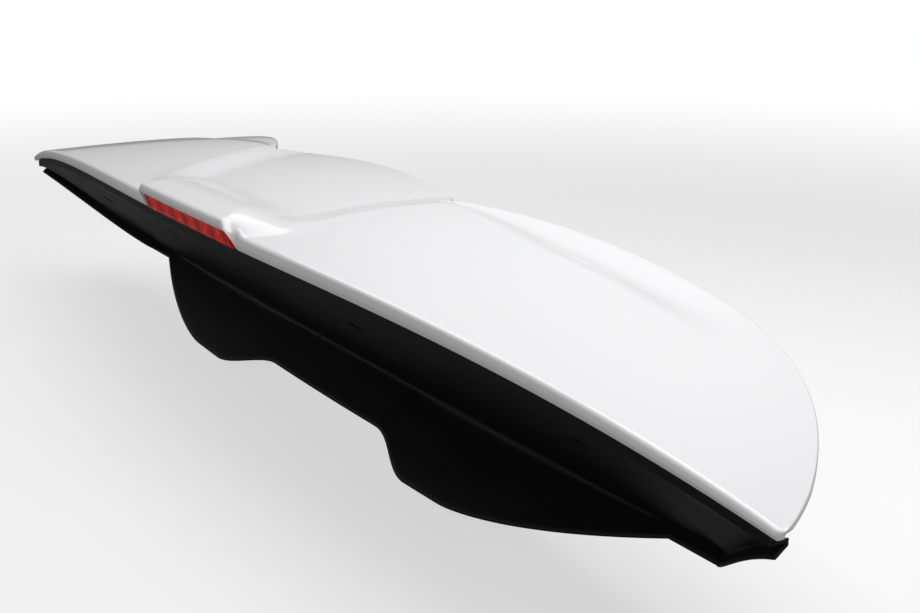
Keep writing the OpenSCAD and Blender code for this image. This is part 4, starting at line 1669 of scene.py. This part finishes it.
@dataclass(frozen=True)
class SoftLamp:
    """A round soft lamp, by its name, place, the point it faces, its width and its power."""

    name: str
    place: tuple[float, float, float]
    aim: tuple[float, float, float]
    size: float
    watts: float

    def hang(self) -> None:
        """Adds the lamp to the scene."""
        data = bpy.data.lights.new(self.name, "AREA")
        data.shape = "DISK"
        data.size = self.size
        data.energy = self.watts
        lamp = bpy.data.objects.new(self.name, data)
        lamp.location = self.place
        lamp.rotation_mode = "QUATERNION"
        lamp.rotation_quaternion = (Vector(self.aim) - lamp.location).to_track_quat("-Z", "Y")
        bpy.context.scene.collection.objects.link(lamp)


@dataclass
class Studio:
    """Pale floor, two soft overhead lamps, a pale room and the camera."""

    camera_place: tuple[float, float, float] = (0.97052, -0.51238, 0.27704)
    azimuth_deg: float = 57.014
    elevation_deg: float = 16.274
    lens_mm: float = 50.87
    key: SoftLamp = SoftLamp("key", (0.46, 0.18, 0.68), (0.42, 0.06, 0.0), 0.9, 5.9)
    fill: SoftLamp = SoftLamp("fill", (-0.55, -0.15, 0.9), (-0.45, 0.0, 0.0), 1.1, 5.2)
    horizon_strength: float = 0.78
    zenith_strength: float = 0.22
    far_wall_share: float = 0.5
    zenith_band: tuple[float, float] = (0.1, 0.75)
    wall_band: tuple[float, float] = (-0.8, 0.6)
    floor_drop: float = 0.0005
    floor_radii: tuple[float, ...] = (0.0, 1.0, 2.0, 4.0, 8.0, 20.0)
    floor_points: int = 96
    floor_lit: str = "#969696"
    floor_seen: str = "#EFEFEF"
    floor_fade: tuple[float, float] = (0.7, 2.4)
    floor_white: float = 0.6
    floor_roughness: float = 0.9
    floor_specular: float = 0.2
    sensor_mm: float = 36.0

    def camera(self) -> None:
        """Places the camera by its azimuth and elevation, level, at the photographed angle."""
        data = bpy.data.cameras.new("camera")
        data.lens = self.lens_mm
        data.sensor_width = self.sensor_mm
        data.clip_start, data.clip_end = 0.01, 100.0
        cam = bpy.data.objects.new("camera", data)
        bpy.context.scene.collection.objects.link(cam)
        a, e = math.radians(self.azimuth_deg), math.radians(self.elevation_deg)
        ahead = Vector((-math.sin(a) * math.cos(e), math.cos(a) * math.cos(e), -math.sin(e)))
        right = Vector((math.cos(a), math.sin(a), 0.0))
        up = right.cross(ahead)
        turn = Matrix((right, up, -ahead)).transposed().to_4x4()
        cam.matrix_world = Matrix.Translation(Vector(self.camera_place)) @ turn
        bpy.context.scene.camera = cam

    def lights(self) -> None:
        """Two soft lamps overhead, and a room that is brighter low down and behind the camera.

        The room's strength is a smooth step of height, times a straight one of the direction's
        share towards the camera. Rays straight from the camera meet plain white.
        """
        self.key.hang()
        self.fill.hang()
        world = bpy.data.worlds.new("pale_room")
        bpy.context.scene.world = world
        world.use_nodes = True
        tree = world.node_tree
        place = add_node(tree, "ShaderNodeTexCoord").outputs["Generated"]
        height = add_node(tree, "ShaderNodeSeparateXYZ", {}, {}, {0: place}).outputs["Z"]
        room = add_node(tree, "ShaderNodeMapRange", {"interpolation_type": "SMOOTHSTEP"},
                        {"From Min": self.zenith_band[0], "From Max": self.zenith_band[1],
                         "To Min": self.horizon_strength, "To Max": self.zenith_strength},
                        {"Value": height})
        azimuth = math.radians(self.azimuth_deg)
        towards = add_node(tree, "ShaderNodeVectorMath", {"operation": "DOT_PRODUCT"},
                           {1: (math.sin(azimuth), -math.cos(azimuth), 0.0)}, {0: place})
        wall = add_node(tree, "ShaderNodeMapRange", {},
                        {"From Min": self.wall_band[0], "From Max": self.wall_band[1],
                         "To Min": self.far_wall_share},
                        {"Value": towards.outputs["Value"]})
        dimmed = add_node(tree, "ShaderNodeMath", {"operation": "MULTIPLY"}, {},
                          {0: room.outputs["Result"], 1: wall.outputs["Result"]})
        path = add_node(tree, "ShaderNodeLightPath")
        seen = add_node(tree, "ShaderNodeMath", {"operation": "MAXIMUM"}, {},
                        {0: path.outputs["Is Camera Ray"], 1: path.outputs["Is Transmission Ray"]})
        strength = add_node(tree, "ShaderNodeMix", {}, {"B": 1.0},
                            {"Factor": seen.outputs[0], "A": dimmed.outputs[0]})
        background = tree.nodes["Background"]
        background.inputs["Color"].default_value = (1, 1, 1, 1)
        tree.links.new(strength.outputs["Result"], background.inputs["Strength"])

    def floor(self, low: float) -> None:
        """A round pale floor that fades to white with distance, so that it has no horizon.

        Args:
            low: height of the part's lowest point, in metres.
        """
        c, s = circle(self.floor_points)
        radii = np.array(self.floor_radii)[:, None]
        x, y = radii * c, radii * s
        points = np.stack([x, y, np.full_like(x, low - self.floor_drop)], -1)
        verts, faces = grid(points, wrap_v=True)
        mesh = bpy.data.meshes.new("floor")
        mesh.from_pydata(verts.tolist(), [], faces)
        floor = bpy.data.objects.new("floor", mesh)
        bpy.context.scene.collection.objects.link(floor)
        material, tree, shader = blank_material("matt_white_board")
        path = add_node(tree, "ShaderNodeLightPath")
        board = add_node(tree, "ShaderNodeMix", {"data_type": "RGBA"},
                         {6: linear(self.floor_lit), 7: linear(self.floor_seen)},
                         {0: path.outputs["Is Camera Ray"]})
        tree.links.new(board.outputs[2], shader.inputs["Base Color"])
        set_inputs(shader, {"Roughness": self.floor_roughness,
                            "Specular IOR Level": self.floor_specular})
        place = add_node(tree, "ShaderNodeTexCoord").outputs["Object"]
        far = add_node(tree, "ShaderNodeVectorMath", {"operation": "LENGTH"}, {}, {0: place})
        fade = add_node(tree, "ShaderNodeMapRange", {"interpolation_type": "SMOOTHSTEP"},
                        {"From Min": self.floor_fade[0], "From Max": self.floor_fade[1],
                         "To Min": self.floor_white},
                        {"Value": far.outputs["Value"]})
        share = add_node(tree, "ShaderNodeMath", {"operation": "MULTIPLY"}, {},
                         {0: fade.outputs["Result"], 1: path.outputs["Is Camera Ray"]})
        white = add_node(tree, "ShaderNodeEmission", {}, {"Color": (1, 1, 1, 1), "Strength": 1.0})
        both = add_node(tree, "ShaderNodeMixShader", {}, {}, {0: share.outputs[0],
                        1: shader.outputs[0], 2: white.outputs[0]})
        out = next(n for n in tree.nodes if n.type == "OUTPUT_MATERIAL")
        tree.links.new(both.outputs[0], out.inputs["Surface"])
        mesh.materials.append(material)

    def build(self, low: float) -> None:
        """Sets up camera, lights and floor.

        Args:
            low: height of the part's lowest point, in metres.
        """
        self.camera()
        self.lights()
        self.floor(low)
        bpy.context.scene.view_settings.view_transform = "Standard"


def main() -> None:
    """Builds the studio and every sub-assembly in order."""
    logging.basicConfig(level=logging.INFO, format="%(name)s %(message)s")
    Studio().build(float(CAD_BOX[0][2]))
    PaintedSkin().build()
    LowerCover().build()
    SideFins().build()
    FoamStrips().build()
    StopLamp().build()
    ThreadedStuds().build()
    StudRings().build()
    PackedPieces().build()


if __name__ == "__main__":
    main()
